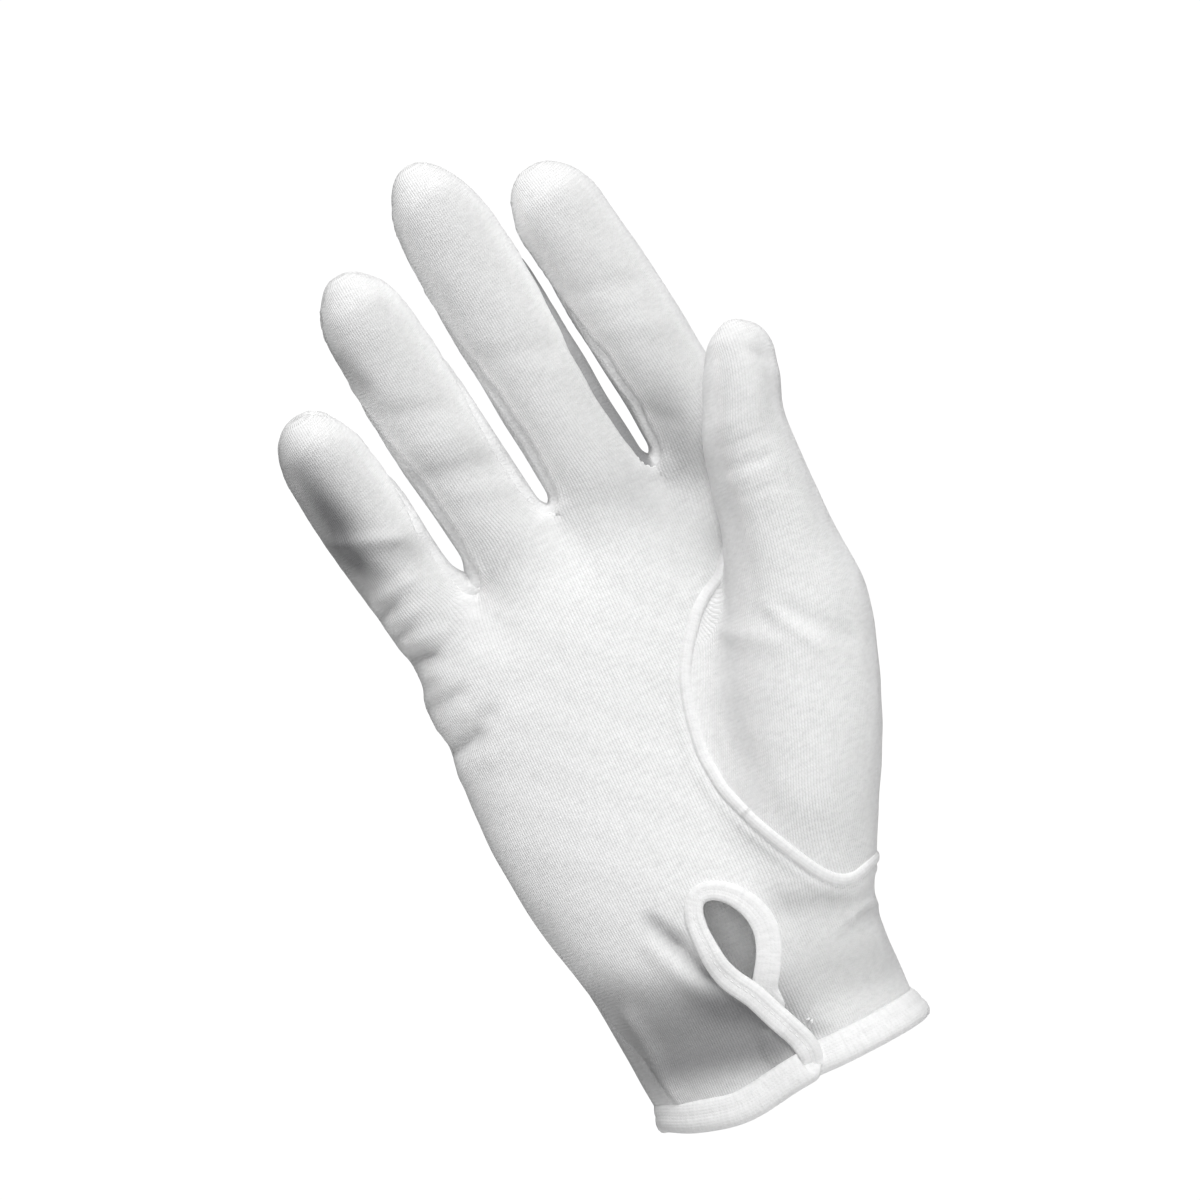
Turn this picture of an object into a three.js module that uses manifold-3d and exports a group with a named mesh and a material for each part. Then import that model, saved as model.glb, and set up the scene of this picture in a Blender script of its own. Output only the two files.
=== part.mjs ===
// White cotton parade glove for a right hand, in the form that it has when a hand fills it.
// Millimetres, +Z towards the fingertips, the palm facing -Y, the thumb on the +X side.
// The origin is the middle of the wrist opening, where the hand goes in.
//
// Each limb of the glove is a loft through a short table of sections. The cloth is what lies
// between the joined limbs and the same limbs taken in by the cloth's thickness, and the seams
// are narrow cuts that part the cloth into the panels that the real glove is sewn from.

import * as THREE from "three";
import Module from "manifold-3d";

const wasm = await Module();
wasm.setup();

// Cloth and clearances
const CLOTH = 1.2; // one layer of interlock cotton
const SEAM_GAP = 0.3; // clearance between two sewn pieces
const CUT_REACH = 80; // how far a cutting tool reaches past the cloth

// Body of the glove, from the hem to the highest web between the fingers
const BODY_LENGTH = 148.4;
const WRIST = { width: 70, depth: 42 };
const PALM = { width: 100, depth: 29 };
const WEB_APEX = 0.14; // where the web is highest, as a share of the palm's width

// Hem, keyhole slit, lapped flaps and fastener at the wrist
const HEM = { height: 6.4, proud: 0.8, inner: 1.7 };
const KEYHOLE = { bottom: 25.9, top: 47.8, left: -5.7, right: 4.0, tip: -1.4 };
const BINDING = { width: 4.2, thickness: 1.1 };
const LAP = { reach: 9, seam: 3.2 };
const SNAP = { diameter: 5.6, thickness: 0.8, height: 10.5, inset: 4.6, sides: 16 };

// Welt round the thumb piece
const WELT = { width: 2.6, thickness: 1.2 };

// Fingers. Root is the place of the finger's middle across the palm, as a share of its width, and
// drop how far its web lies below the highest web. Leans are angles from +Z, towards +X.
const FINGERS = [
  { name: "little", length: 65.5, width: 22.8, depth: 19.5, tip: 15.5, root: -0.334, drop: 15, leanAtWeb: -12.5, leanAtTip: -6.8, curl: 20 },
  { name: "ring", length: 82, width: 23.8, depth: 20, tip: 19.5, root: -0.092, drop: 5, leanAtWeb: -10, leanAtTip: -6, curl: 16 },
  { name: "middle", length: 94.8, width: 25.2, depth: 20.5, tip: 22, root: 0.168, drop: 1, leanAtWeb: -6.2, leanAtTip: -7, curl: 12 },
  { name: "index", length: 83, width: 23.9, depth: 20, tip: 15.5, root: 0.434, drop: 2, leanAtWeb: -4, leanAtTip: -11, curl: 10 },
];

// Thumb with the mound that its panel covers
const THUMB = { bottom: 32.4, reach: 140.8, spread: 36, forward: 18, width: 43, depth: 31 };
const THUMB_ROOT = { x: 24, y: -6 };

// Fineness of the lofts: steps along and sides round, outside and inside
const BODY_FINENESS = { steps: 17, sides: 30 };
const BODY_LINING = { steps: 12, sides: 24 };
const CUFF_FINENESS = { steps: 10, sides: 30 };
const FINGER_FINENESS = { steps: 6, sides: 14, cap: 3 };
const FINGER_LINING = { steps: 4, sides: 10, cap: 2 };
const THUMB_FINENESS = { steps: 15, sides: 20 };
const THUMB_LINING = { steps: 11, sides: 14 };

// Body sections. At is the height as a share of BODY_LENGTH. Left and right are shares of the
// width of the size that the row follows, front and back shares of its depth, and dome is how
// far the section sags at the palm's edges, as a share of PALM.depth.
const BODY_SECTIONS = [
  { at: 0, of: WRIST, left: 0.506, right: 0.472, front: 0.48, back: 0.48, dome: 0 },
  { at: 0.085, of: WRIST, left: 0.526, right: 0.472, front: 0.48, back: 0.48, dome: 0 },
  { at: 0.144, of: WRIST, left: 0.536, right: 0.474, front: 0.476, back: 0.47, dome: 0 },
  { at: 0.213, of: WRIST, left: 0.545, right: 0.488, front: 0.467, back: 0.452, dome: 0 },
  { at: 0.292, of: PALM, left: 0.402, right: 0.38, front: 0.634, back: 0.603, dome: 0 },
  { at: 0.37, of: PALM, left: 0.429, right: 0.4, front: 0.59, back: 0.552, dome: 0 },
  { at: 0.449, of: PALM, left: 0.447, right: 0.42, front: 0.545, back: 0.517, dome: 0 },
  { at: 0.528, of: PALM, left: 0.459, right: 0.46, front: 0.507, back: 0.5, dome: 0 },
  { at: 0.606, of: PALM, left: 0.459, right: 0.495, front: 0.476, back: 0.483, dome: 0 },
  { at: 0.69, of: PALM, left: 0.453, right: 0.52, front: 0.455, back: 0.466, dome: 0.02 },
  { at: 0.771, of: PALM, left: 0.45, right: 0.54, front: 0.434, back: 0.452, dome: 0.05 },
  { at: 0.839, of: PALM, left: 0.46, right: 0.55, front: 0.407, back: 0.438, dome: 0.12 },
  { at: 0.911, of: PALM, left: 0.415, right: 0.54, front: 0.338, back: 0.383, dome: 0.3 },
  { at: 0.966, of: PALM, left: 0.355, right: 0.51, front: 0.245, back: 0.3, dome: 0.5 },
  { at: 1, of: PALM, left: 0.29, right: 0.47, front: 0.14, back: 0.17, dome: 0.63 },
];

// Finger sections. At is the distance from the web as a share of the finger's shaft.
const FINGER_SECTIONS = [
  { at: -0.45, wide: 0.84, deep: 0.72 },
  { at: -0.2, wide: 0.97, deep: 0.9 },
  { at: 0.0, wide: 1.02, deep: 0.99 },
  { at: 0.3, wide: 0.985, deep: 0.97 },
  { at: 0.55, wide: 1.0, deep: 0.97 },
  { at: 0.8, wide: 0.985, deep: 0.91 },
  { at: 1.0, wide: 0.945, deep: 0.86 },
];

// Thumb sections, level rings. Up, out and forward are shares of THUMB.reach, spread and forward,
// and wide and deep shares of its width and depth.
const THUMB_SECTIONS = [
  { up: 0.0, out: 0.0, forward: 0.0, wide: 0.37, deep: 0.38 },
  { up: 0.1, out: 0.056, forward: 0.056, wide: 0.72, deep: 0.71 },
  { up: 0.196, out: 0.153, forward: 0.111, wide: 0.91, deep: 0.935 },
  { up: 0.294, out: 0.306, forward: 0.167, wide: 0.955, deep: 1.0 },
  { up: 0.392, out: 0.444, forward: 0.222, wide: 0.96, deep: 1.0 },
  { up: 0.49, out: 0.583, forward: 0.333, wide: 0.885, deep: 0.935 },
  { up: 0.573, out: 0.667, forward: 0.472, wide: 0.767, deep: 0.84 },
  { up: 0.657, out: 0.731, forward: 0.667, wide: 0.651, deep: 0.774 },
  { up: 0.741, out: 0.769, forward: 0.861, wide: 0.586, deep: 0.729 },
  { up: 0.825, out: 0.817, forward: 0.989, wide: 0.53, deep: 0.684 },
  { up: 0.888, out: 0.917, forward: 1.028, wide: 0.507, deep: 0.64 },
  { up: 0.944, out: 0.981, forward: 1.028, wide: 0.425, deep: 0.53 },
  { up: 0.983, out: 1.0, forward: 1.0, wide: 0.25, deep: 0.32 },
  { up: 1.0, out: 1.0, forward: 1.0, wide: 0.07, deep: 0.09 },
];

// The seam round the thumb piece: left is where it runs on the palm side, back how far it reaches
// round the thumb side. All are shares of the sizes above: up of BODY_LENGTH, left of PALM.width
// and back of PALM.depth.
const THUMB_SEAM = [
  { up: 0.264, left: 0.3, back: 0.17 },
  { up: 0.274, left: 0.27, back: 0.17 },
  { up: 0.303, left: 0.236, back: 0.17 },
  { up: 0.361, left: 0.191, back: 0.17 },
  { up: 0.421, left: 0.151, back: 0.17 },
  { up: 0.489, left: 0.114, back: 0.17 },
  { up: 0.555, left: 0.106, back: 0.16 },
  { up: 0.622, left: 0.121, back: 0.13 },
  { up: 0.676, left: 0.146, back: 0.06 },
  { up: 0.717, left: 0.18, back: -0.02 },
  { up: 0.77, left: 0.246, back: -0.2 },
  { up: 0.791, left: 0.292, back: -0.3 },
  { up: 0.8, left: 0.34, back: -0.34 },
];

// Folds and dents of the palm side. At and across are the middle of the fold as shares of
// BODY_LENGTH and PALM.width, high and wide its half sizes as shares of the same, and deep how
// far the cloth goes in, as a share of PALM.depth.
const BODY_FOLDS = [
  { at: 0.606, across: -0.45, high: 0.018, wide: 0.16, deep: 0.036 },
  { at: 0.685, across: -0.44, high: 0.02, wide: 0.2, deep: 0.05 },
  { at: 0.764, across: -0.44, high: 0.018, wide: 0.18, deep: 0.045 },
  { at: 0.292, across: -0.14, high: 0.06, wide: 0.04, deep: 0.07 },
  { at: 0.174, across: -0.26, high: 0.07, wide: 0.06, deep: 0.05 },
  { at: 0.528, across: 0.02, high: 0.16, wide: 0.08, deep: 0.05 },
];

// The edge of the outer flap below the keyhole, as shares of KEYHOLE.bottom and PALM.width
const FLAP_EDGE = [
  { up: -0.3, across: 0.03 },
  { up: 0.0, across: 0.045 },
  { up: 0.33, across: 0.056 },
  { up: 0.62, across: 0.022 },
  { up: 1.0, across: -0.014 },
];

const ROUNDNESS = { wrist: 2.15, palm: 2.5, finger: 2.2, thumb: 2.1 };

// Sections and outlines

// A smooth curve through a table's column, read at any place along the key column.
function column(rows, key, value) {
  const last = rows.length - 1;
  const slope = (i) => {
    const a = rows[Math.max(i - 1, 0)];
    const b = rows[Math.min(i + 1, last)];
    return (value(b) - value(a)) / (b[key] - a[key]);
  };
  return (place) => {
    let i = 0;
    while (i < last - 1 && place > rows[i + 1][key]) i += 1;
    const span = rows[i + 1][key] - rows[i][key];
    const t = THREE.MathUtils.clamp((place - rows[i][key]) / span, 0, 1);
    const h = t * t * (3 - 2 * t);
    const leave = slope(i) * span * t * (1 - t) * (1 - t);
    const arrive = slope(i + 1) * span * t * t * (t - 1);
    return value(rows[i]) * (1 - h) + value(rows[i + 1]) * h + leave + arrive;
  };
}

// A point of a rounded outline: roundness 2 is an ellipse, and more is squarer.
function roundedPoint(angle, roundness) {
  const power = 2 / roundness;
  const c = Math.cos(angle);
  const s = Math.sin(angle);
  return { across: Math.sign(c) * Math.abs(c) ** power, deep: Math.sign(s) * Math.abs(s) ** power };
}

// A ring of points round a place, in the plane of the frame's across and deep directions.
function ringRound(frame, halfWidth, halfDepth, sides, roundness) {
  return Array.from({ length: sides }, (_, i) => {
    const { across, deep } = roundedPoint((i / sides) * 2 * Math.PI, roundness);
    const point = frame.place.clone().addScaledVector(frame.across, across * halfWidth);
    return point.addScaledVector(frame.deep, deep * halfDepth);
  });
}

const LEVEL = { along: new THREE.Vector3(0, 0, 1), across: new THREE.Vector3(1, 0, 0), deep: new THREE.Vector3(0, 1, 0) };
const levelAt = (x, y, z) => ({ ...LEVEL, place: new THREE.Vector3(x, y, z) });

// Solids

function manifoldFrom(points, triangles) {
  const build = (list) =>
    new wasm.Manifold(
      new wasm.Mesh({
        numProp: 3,
        vertProperties: new Float32Array(points.flatMap((p) => [p.x, p.y, p.z])),
        triVerts: new Uint32Array(list),
      }),
    );
  const made = build(triangles);
  if (made.volume() > 0) return made;
  const turned = [];
  for (let i = 0; i < triangles.length; i += 3) {
    turned.push(triangles[i], triangles[i + 2], triangles[i + 1]);
  }
  return build(turned);
}

// A closed solid through rings of points, with each end closed round its own middle.
function solidFromRings(rings) {
  const sides = rings[0].length;
  const middle = (ring) => ring.reduce((sum, p) => sum.add(p), new THREE.Vector3()).divideScalar(sides);
  const points = [...rings.flat(), middle(rings[0]), middle(rings[rings.length - 1])];
  const start = points.length - 2;
  const end = points.length - 1;
  const last = (rings.length - 1) * sides;
  const triangles = [];
  for (let i = 0; i < sides; i += 1) {
    const next = (i + 1) % sides;
    for (let a = 0; a < last; a += sides) {
      triangles.push(a + i, a + next, a + sides + i, a + next, a + sides + next, a + sides + i);
    }
    triangles.push(start, next, i, end, last + i, last + next);
  }
  return manifoldFrom(points, triangles);
}

function solidFromGeometry(geometry) {
  const flat = geometry.index ? geometry.toNonIndexed() : geometry;
  const places = flat.getAttribute("position");
  const known = new Map();
  const points = [];
  const corners = [];
  for (let i = 0; i < places.count; i += 1) {
    const p = new THREE.Vector3().fromBufferAttribute(places, i);
    const key = p.toArray().map((v) => Math.round(v * 1e4)).join(" ");
    if (!known.has(key)) {
      known.set(key, points.length);
      points.push(p);
    }
    corners.push(known.get(key));
  }
  const triangles = [];
  for (let i = 0; i < corners.length; i += 3) {
    const [a, b, c] = corners.slice(i, i + 3);
    if (a !== b && b !== c && c !== a) triangles.push(a, b, c);
  }
  return manifoldFrom(points, triangles);
}

function boxBetween(low, high) {
  const geometry = new THREE.BoxGeometry(high[0] - low[0], high[1] - low[1], high[2] - low[2]);
  geometry.translate((high[0] + low[0]) / 2, (high[1] + low[1]) / 2, (high[2] + low[2]) / 2);
  return solidFromGeometry(geometry);
}

// A bar with a rectangular section along stations, each with its own frame and half sizes.
function bar(stations) {
  return solidFromRings(
    stations.map(({ frame, from, to, halfDepth }) => {
      const corner = (across, deep) =>
        frame.place.clone().addScaledVector(frame.across, across).addScaledVector(frame.deep, deep);
      return [corner(from, -halfDepth), corner(to, -halfDepth), corner(to, halfDepth), corner(from, halfDepth)];
    }),
  );
}

const joined = (solids) => solids.reduce((a, b) => a.add(b));
const largest = (solid) => solid.decompose().sort((a, b) => b.volume() - a.volume())[0];

// Body

const body = {
  left: column(BODY_SECTIONS, "at", (row) => row.left * row.of.width),
  right: column(BODY_SECTIONS, "at", (row) => row.right * row.of.width),
  front: column(BODY_SECTIONS, "at", (row) => row.front * row.of.depth),
  back: column(BODY_SECTIONS, "at", (row) => row.back * row.of.depth),
  dome: column(BODY_SECTIONS, "at", (row) => row.dome * PALM.depth),
};

function foldDepth(x, at) {
  const depths = BODY_FOLDS.map((fold) => {
    const up = (at - fold.at) / fold.high;
    const side = (x / PALM.width - fold.across) / fold.wide;
    return fold.deep * PALM.depth * Math.exp(-up * up - side * side);
  });
  return depths.reduce((a, b) => a + b);
}

// A point of the body's surface at a share of its length, with the surface moved out by grow.
// Angle 0 is the thumb side, and the palm side has the negative sines.
function bodyPoint(at, angle, grow) {
  const left = body.left(at) + grow;
  const right = body.right(at) + grow;
  const palmShare = THREE.MathUtils.smoothstep(at, 0.2, 0.5);
  const { across, deep } = roundedPoint(angle, THREE.MathUtils.lerp(ROUNDNESS.wrist, ROUNDNESS.palm, palmShare));
  const x = (right - left) / 2 + (across * (left + right)) / 2;
  const front = deep < 0;
  const half = (front ? body.front(at) : body.back(at)) + grow;
  const inward = deep < 0.3 ? foldDepth(x, at) : 0;
  const away = (x - WEB_APEX * PALM.width) / (PALM.width / 2);
  const z = at * BODY_LENGTH - body.dome(at) * away * away;
  return new THREE.Vector3(x - Math.sign(across) * inward * across ** 2, deep * (half - (front ? inward : 0)), z);
}

function bodySolid(grow, { steps, sides }, below = 0) {
  const ringAt = (at, shift) =>
    Array.from({ length: sides }, (_, i) => {
      const point = bodyPoint(at, (i / sides) * 2 * Math.PI, grow);
      return point.setZ(point.z + shift);
    });
  const rings = below > 0 ? [ringAt(0, -below)] : [];
  for (let i = 0; i <= steps; i += 1) {
    const at = i / steps;
    rings.push(ringAt(at, grow * THREE.MathUtils.smoothstep(at, 0.9, 1)));
  }
  return solidFromRings(rings);
}

// Fingers

const fingerWide = column(FINGER_SECTIONS, "at", (row) => row.wide);
const fingerDeep = column(FINGER_SECTIONS, "at", (row) => row.deep);
const FINGER_START = FINGER_SECTIONS[0].at;
const MIDLINE_STEPS = 24;
const CAP_ROUND = 0.35; // how much of a cap's last ring is left flat

const shaftLength = (finger) => finger.length - finger.tip;

// The finger's middle line at a distance from its web, with the directions across and through it.
function fingerFrame(finger, distance) {
  const heading = (share) => {
    const lean = THREE.MathUtils.degToRad(THREE.MathUtils.lerp(finger.leanAtWeb, finger.leanAtTip, share));
    const curl = THREE.MathUtils.degToRad(finger.curl) * share;
    return new THREE.Vector3(Math.sin(lean) * Math.cos(curl), -Math.sin(curl), Math.cos(lean) * Math.cos(curl));
  };
  const place = new THREE.Vector3(finger.root * PALM.width, 0, BODY_LENGTH - finger.drop);
  for (let i = 0; i < MIDLINE_STEPS; i += 1) {
    const passed = ((i + 0.5) / MIDLINE_STEPS) * distance;
    place.addScaledVector(heading(Math.max(0, passed / finger.length)), distance / MIDLINE_STEPS);
  }
  const along = heading(Math.max(0, distance / finger.length));
  const deep = new THREE.Vector3(0, 1, 0).addScaledVector(along, -along.y).normalize();
  const across = new THREE.Vector3().crossVectors(deep, along).normalize();
  return { place, along, deep, across };
}

function fingerSolid(finger, grow, { steps, sides, cap }) {
  const shaft = shaftLength(finger);
  const halfWidth = (at) => (fingerWide(at) * finger.width) / 2 + grow;
  const halfDepth = (at) => (fingerDeep(at) * finger.depth) / 2 + grow;
  const rings = [];
  for (let i = 0; i <= steps; i += 1) {
    const at = THREE.MathUtils.lerp(FINGER_START, 1, i / steps);
    rings.push(ringRound(fingerFrame(finger, at * shaft), halfWidth(at), halfDepth(at), sides, ROUNDNESS.finger));
  }
  for (let i = 1; i <= cap; i += 1) {
    const turn = (i / (cap + CAP_ROUND)) * (Math.PI / 2);
    const frame = fingerFrame(finger, shaft + (finger.tip + grow) * Math.sin(turn));
    const narrow = Math.cos(turn);
    rings.push(ringRound(frame, halfWidth(1) * narrow, halfDepth(1) * narrow, sides, ROUNDNESS.finger));
  }
  return solidFromRings(rings);
}

// Thumb

const thumbRows = {
  out: column(THUMB_SECTIONS, "up", (row) => row.out * THUMB.spread),
  forward: column(THUMB_SECTIONS, "up", (row) => row.forward * THUMB.forward),
  wide: column(THUMB_SECTIONS, "up", (row) => row.wide * THUMB.width),
  deep: column(THUMB_SECTIONS, "up", (row) => row.deep * THUMB.depth),
};
const TIP_CROWDING = 1.5; // more sets the thumb's rings closer together towards its tip
const LEAST_HALF = 0.4; // the half size of the smallest ring

function thumbSolid(grow, { steps, sides }) {
  const rings = [];
  for (let i = 0; i <= steps; i += 1) {
    const up = 1 - (1 - i / steps) ** TIP_CROWDING;
    const x = THUMB_ROOT.x + thumbRows.out(up);
    const y = THUMB_ROOT.y - thumbRows.forward(up);
    const z = THUMB.bottom + up * (THUMB.reach + grow);
    const halfWidth = Math.max(thumbRows.wide(up) / 2 + grow, LEAST_HALF);
    const halfDepth = Math.max(thumbRows.deep(up) / 2 + grow, LEAST_HALF);
    rings.push(ringRound(levelAt(x, y, z), halfWidth, halfDepth, sides, ROUNDNESS.thumb));
  }
  return solidFromRings(rings);
}

// The space that the thumb piece takes up: a block whose left and back sides follow the seam on
// the mound, and the thumb itself above it.
const seamLeft = column(THUMB_SEAM, "up", (row) => row.left * PALM.width);
const seamBack = column(THUMB_SEAM, "up", (row) => row.back * PALM.depth);

function moundBlock(grow) {
  const rings = THUMB_SEAM.map(({ up }, i) => {
    const ends = i === 0 ? -grow : i === THUMB_SEAM.length - 1 ? grow : 0;
    const left = seamLeft(up) - grow;
    const back = seamBack(up) + grow;
    const right = i === 0 ? left + LAP.seam + 2 * grow : PALM.width;
    const z = up * BODY_LENGTH + ends;
    const corner = (x, y) => new THREE.Vector3(x, y, z);
    return [corner(left, -CUT_REACH), corner(right, -CUT_REACH), corner(right, back), corner(left, back)];
  });
  return solidFromRings(rings);
}

const blockTop = THUMB_SEAM[THUMB_SEAM.length - 1].up * BODY_LENGTH;
const thumbLow = THUMB_SEAM[THUMB_SEAM.length - 3].up * BODY_LENGTH;
const between = (low, high) => boxBetween([-CUT_REACH, -CUT_REACH, low], [PALM.width, CUT_REACH, high]);

function thumbSpace(grow) {
  const upper = thumbSolid(grow + SEAM_GAP, THUMB_FINENESS).intersect(between(thumbLow, BODY_LENGTH * 2));
  return moundBlock(grow).add(upper);
}

// The whole glove, moved out by grow

const outer = { body: BODY_FINENESS, finger: FINGER_FINENESS, thumb: THUMB_FINENESS, below: 0 };
const lining = { body: BODY_LINING, finger: FINGER_LINING, thumb: THUMB_LINING, below: CLOTH * 4 };

const handSkin = (grow, fineness = outer) =>
  joined([
    bodySolid(grow, fineness.body, fineness.below),
    ...FINGERS.map((finger) => fingerSolid(finger, grow, fineness.finger)),
  ]);
const skin = (grow, fineness = outer) => handSkin(grow, fineness).add(thumbSolid(grow, fineness.thumb));

// Seams and gussets

// The side of a finger that its gusset covers, from just under the web to near the tip.
const GUSSET = { depth: 0.62, under: 7, end: 0.92, taper: 0.3, tipShare: 0.12, inside: 0.5, steps: 6 };

function gussetSide(finger, side, grow) {
  const shaft = shaftLength(finger);
  const stations = [];
  for (let i = 0; i <= GUSSET.steps; i += 1) {
    const distance = THREE.MathUtils.lerp(-GUSSET.under, GUSSET.end * shaft, i / GUSSET.steps);
    const past = i === 0 ? -grow : i === GUSSET.steps ? grow : 0;
    const at = distance / shaft;
    const narrowing = 1 - THREE.MathUtils.smoothstep(at, GUSSET.taper, GUSSET.end);
    const halfDepth = (GUSSET.depth * finger.depth * THREE.MathUtils.lerp(GUSSET.tipShare, 1, narrowing)) / 2 + grow;
    const halfWidth = (fingerWide(at) * finger.width) / 2;
    const edges = [GUSSET.inside * halfWidth - grow, halfWidth + CLOTH * 2];
    const [from, to] = side > 0 ? edges : [-edges[1], -edges[0]];
    stations.push({ frame: fingerFrame(finger, distance + past), from, to, halfDepth });
  }
  return bar(stations);
}

const gussetPairs = FINGERS.slice(0, -1).map((finger, i) => [finger, FINGERS[i + 1]]);
const gussetTool = ([low, high], grow) => gussetSide(low, 1, grow).add(gussetSide(high, -1, grow));

// A thin sheet through the middle of a finger and of the palm below it: the side and tip seams.
const SHEET = { steps: 7, past: 4, outer: 0.42, inner: 0.16 };

function seamSheet(finger, index) {
  const start = FINGER_START * shaftLength(finger);
  const base = fingerFrame(finger, start).place.x;
  const frames = [levelAt(base, 0, -CLOTH * 4)];
  for (let i = 0; i <= SHEET.steps; i += 1) {
    frames.push(fingerFrame(finger, THREE.MathUtils.lerp(start, finger.length + SHEET.past, i / SHEET.steps)));
  }
  const from = -PALM.width * (index === 0 ? SHEET.outer : SHEET.inner);
  const to = PALM.width * (index === FINGERS.length - 1 ? SHEET.outer : SHEET.inner);
  return bar(frames.map((frame) => ({ frame, from, to, halfDepth: SEAM_GAP / 2 })));
}

// Keyhole, flaps and hem, seen from the front

const flapEdge = column(FLAP_EDGE, "up", (row) => row.across * PALM.width);
const flapX = (z) => flapEdge(z / KEYHOLE.bottom);

// A tool through the palm side only, from an outline in x and z.
function frontTool(shape, curveSegments = 7) {
  const geometry = new THREE.ExtrudeGeometry(shape, { depth: CUT_REACH, bevelEnabled: false, curveSegments });
  geometry.rotateX(Math.PI / 2);
  return solidFromGeometry(geometry);
}

// The keyhole: nearly straight on the little finger's side, bowed on the thumb's side.
function keyholeShape(grow) {
  const { tip, left, right, bottom, top } = KEYHOLE;
  const shape = new THREE.Shape();
  const x = (share) => THREE.MathUtils.lerp(left - grow, right + grow, share);
  const z = (share) => THREE.MathUtils.lerp(bottom - grow, top + grow, share);
  shape.moveTo(tip, z(0));
  shape.bezierCurveTo(x(0.7), z(0.12), x(1.04), z(0.36), x(0.98), z(0.58));
  shape.bezierCurveTo(x(0.92), z(0.8), x(0.62), z(1.0), x(0.3), z(1.0));
  shape.bezierCurveTo(x(0.08), z(1.0), x(0), z(0.86), x(0), z(0.66));
  shape.bezierCurveTo(x(0), z(0.36), x(-0.02), z(0.16), tip, z(0));
  return shape;
}

// A strip whose edges are the flap's edge moved across by from and to, between two heights.
const STRIP_STEPS = 5;
function flapStrip(from, to, low, high) {
  const edge = (shift) =>
    Array.from({ length: STRIP_STEPS + 1 }, (_, i) => {
      const z = THREE.MathUtils.lerp(low, high, i / STRIP_STEPS);
      return new THREE.Vector2(flapX(z) + shift, z);
    });
  return new THREE.Shape([...edge(from).reverse(), ...edge(to)]);
}


// A layer of the wrist between two distances from the cloth's outer surface.
function wristLayer(outer, inner) {
  return bodySolid(outer, CUFF_FINENESS, CLOTH).subtract(bodySolid(inner, CUFF_FINENESS, CLOTH * 4));
}

const LAP_OUTER = -(CLOTH + SNAP.thickness + 2 * SEAM_GAP);
const LAP_INNER = LAP_OUTER - CLOTH;

// The layer under the outer flap, with the step that carries it on the thumb's side.
function lappedFlap(outer, lapOuter, lapInner, low, high) {
  const under = wristLayer(lapOuter, lapInner).intersect(frontTool(flapStrip(-LAP.reach, LAP.seam, low, high)));
  const step = wristLayer(outer, lapInner).intersect(frontTool(flapStrip(SEAM_GAP, LAP.seam, low, high)));
  return under.add(step);
}

// Pieces

const hemTop = HEM.height;
const clothLow = hemTop + SEAM_GAP;
const flapTop = KEYHOLE.bottom + 1;

const wholeCloth = skin(0).subtract(skin(-CLOTH, lining));
const thumbPiece = largest(wholeCloth.intersect(thumbSpace(0)));

const slitCut = frontTool(keyholeShape(0)).add(frontTool(flapStrip(-SEAM_GAP, SEAM_GAP, -CLOTH * 4, flapTop)));
const palmAndBack = wholeCloth
  .intersect(between(clothLow, BODY_LENGTH * 2))
  .subtract(thumbSpace(SEAM_GAP))
  .subtract(slitCut)
  .add(lappedFlap(0, LAP_OUTER, LAP_INNER, clothLow, KEYHOLE.bottom - SEAM_GAP))
  .subtract(joined(gussetPairs.map((pair) => gussetTool(pair, SEAM_GAP))))
  .subtract(joined(FINGERS.map(seamSheet)))
  .decompose()
  .sort((a, b) => b.volume() - a.volume())
  .slice(0, 2);
const [palmPanel, backPanel] = palmAndBack.sort((a, b) => a.boundingBox().min[1] - b.boundingBox().min[1]);

const hemCut = frontTool(flapStrip(-SEAM_GAP, SEAM_GAP, -CLOTH * 4, flapTop));
const HEM_LAP_OUTER = -(HEM.inner + SEAM_GAP);
const wristHem = wristLayer(HEM.proud, -HEM.inner)
  .intersect(between(0, hemTop))
  .subtract(hemCut)
  .add(lappedFlap(HEM.proud, HEM_LAP_OUTER, HEM_LAP_OUTER - CLOTH * 2, 0, hemTop));

const bindingLayer = bodySolid(SEAM_GAP + BINDING.thickness, BODY_FINENESS).subtract(bodySolid(SEAM_GAP, BODY_FINENESS));
const bindingOutline = frontTool(keyholeShape(BINDING.width))
  .add(frontTool(flapStrip(-BINDING.width, -SEAM_GAP, clothLow, flapTop)))
  .subtract(frontTool(keyholeShape(0)))
  .subtract(frontTool(flapStrip(-SEAM_GAP, CUT_REACH, -CLOTH, KEYHOLE.bottom - BINDING.width)));
const slitBinding = largest(bindingLayer.intersect(bindingOutline).intersect(between(clothLow + SEAM_GAP, BODY_LENGTH)));

const weltHigh = SEAM_GAP + WELT.thickness;
const moundWelt = moundBlock((SEAM_GAP + WELT.width) / 2)
  .subtract(moundBlock((SEAM_GAP - WELT.width) / 2))
  .intersect(between(0, blockTop - WELT.width))
  .intersect(skin(weltHigh));
const crotchWelt = thumbSolid(SEAM_GAP + WELT.width, THUMB_FINENESS)
  .intersect(between(thumbLow - WELT.width, BODY_LENGTH * 2))
  .intersect(handSkin(weltHigh));
const thumbWelt = largest(moundWelt.add(crotchWelt).subtract(skin(SEAM_GAP)));

const HALVING_END = 1e-6;

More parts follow.
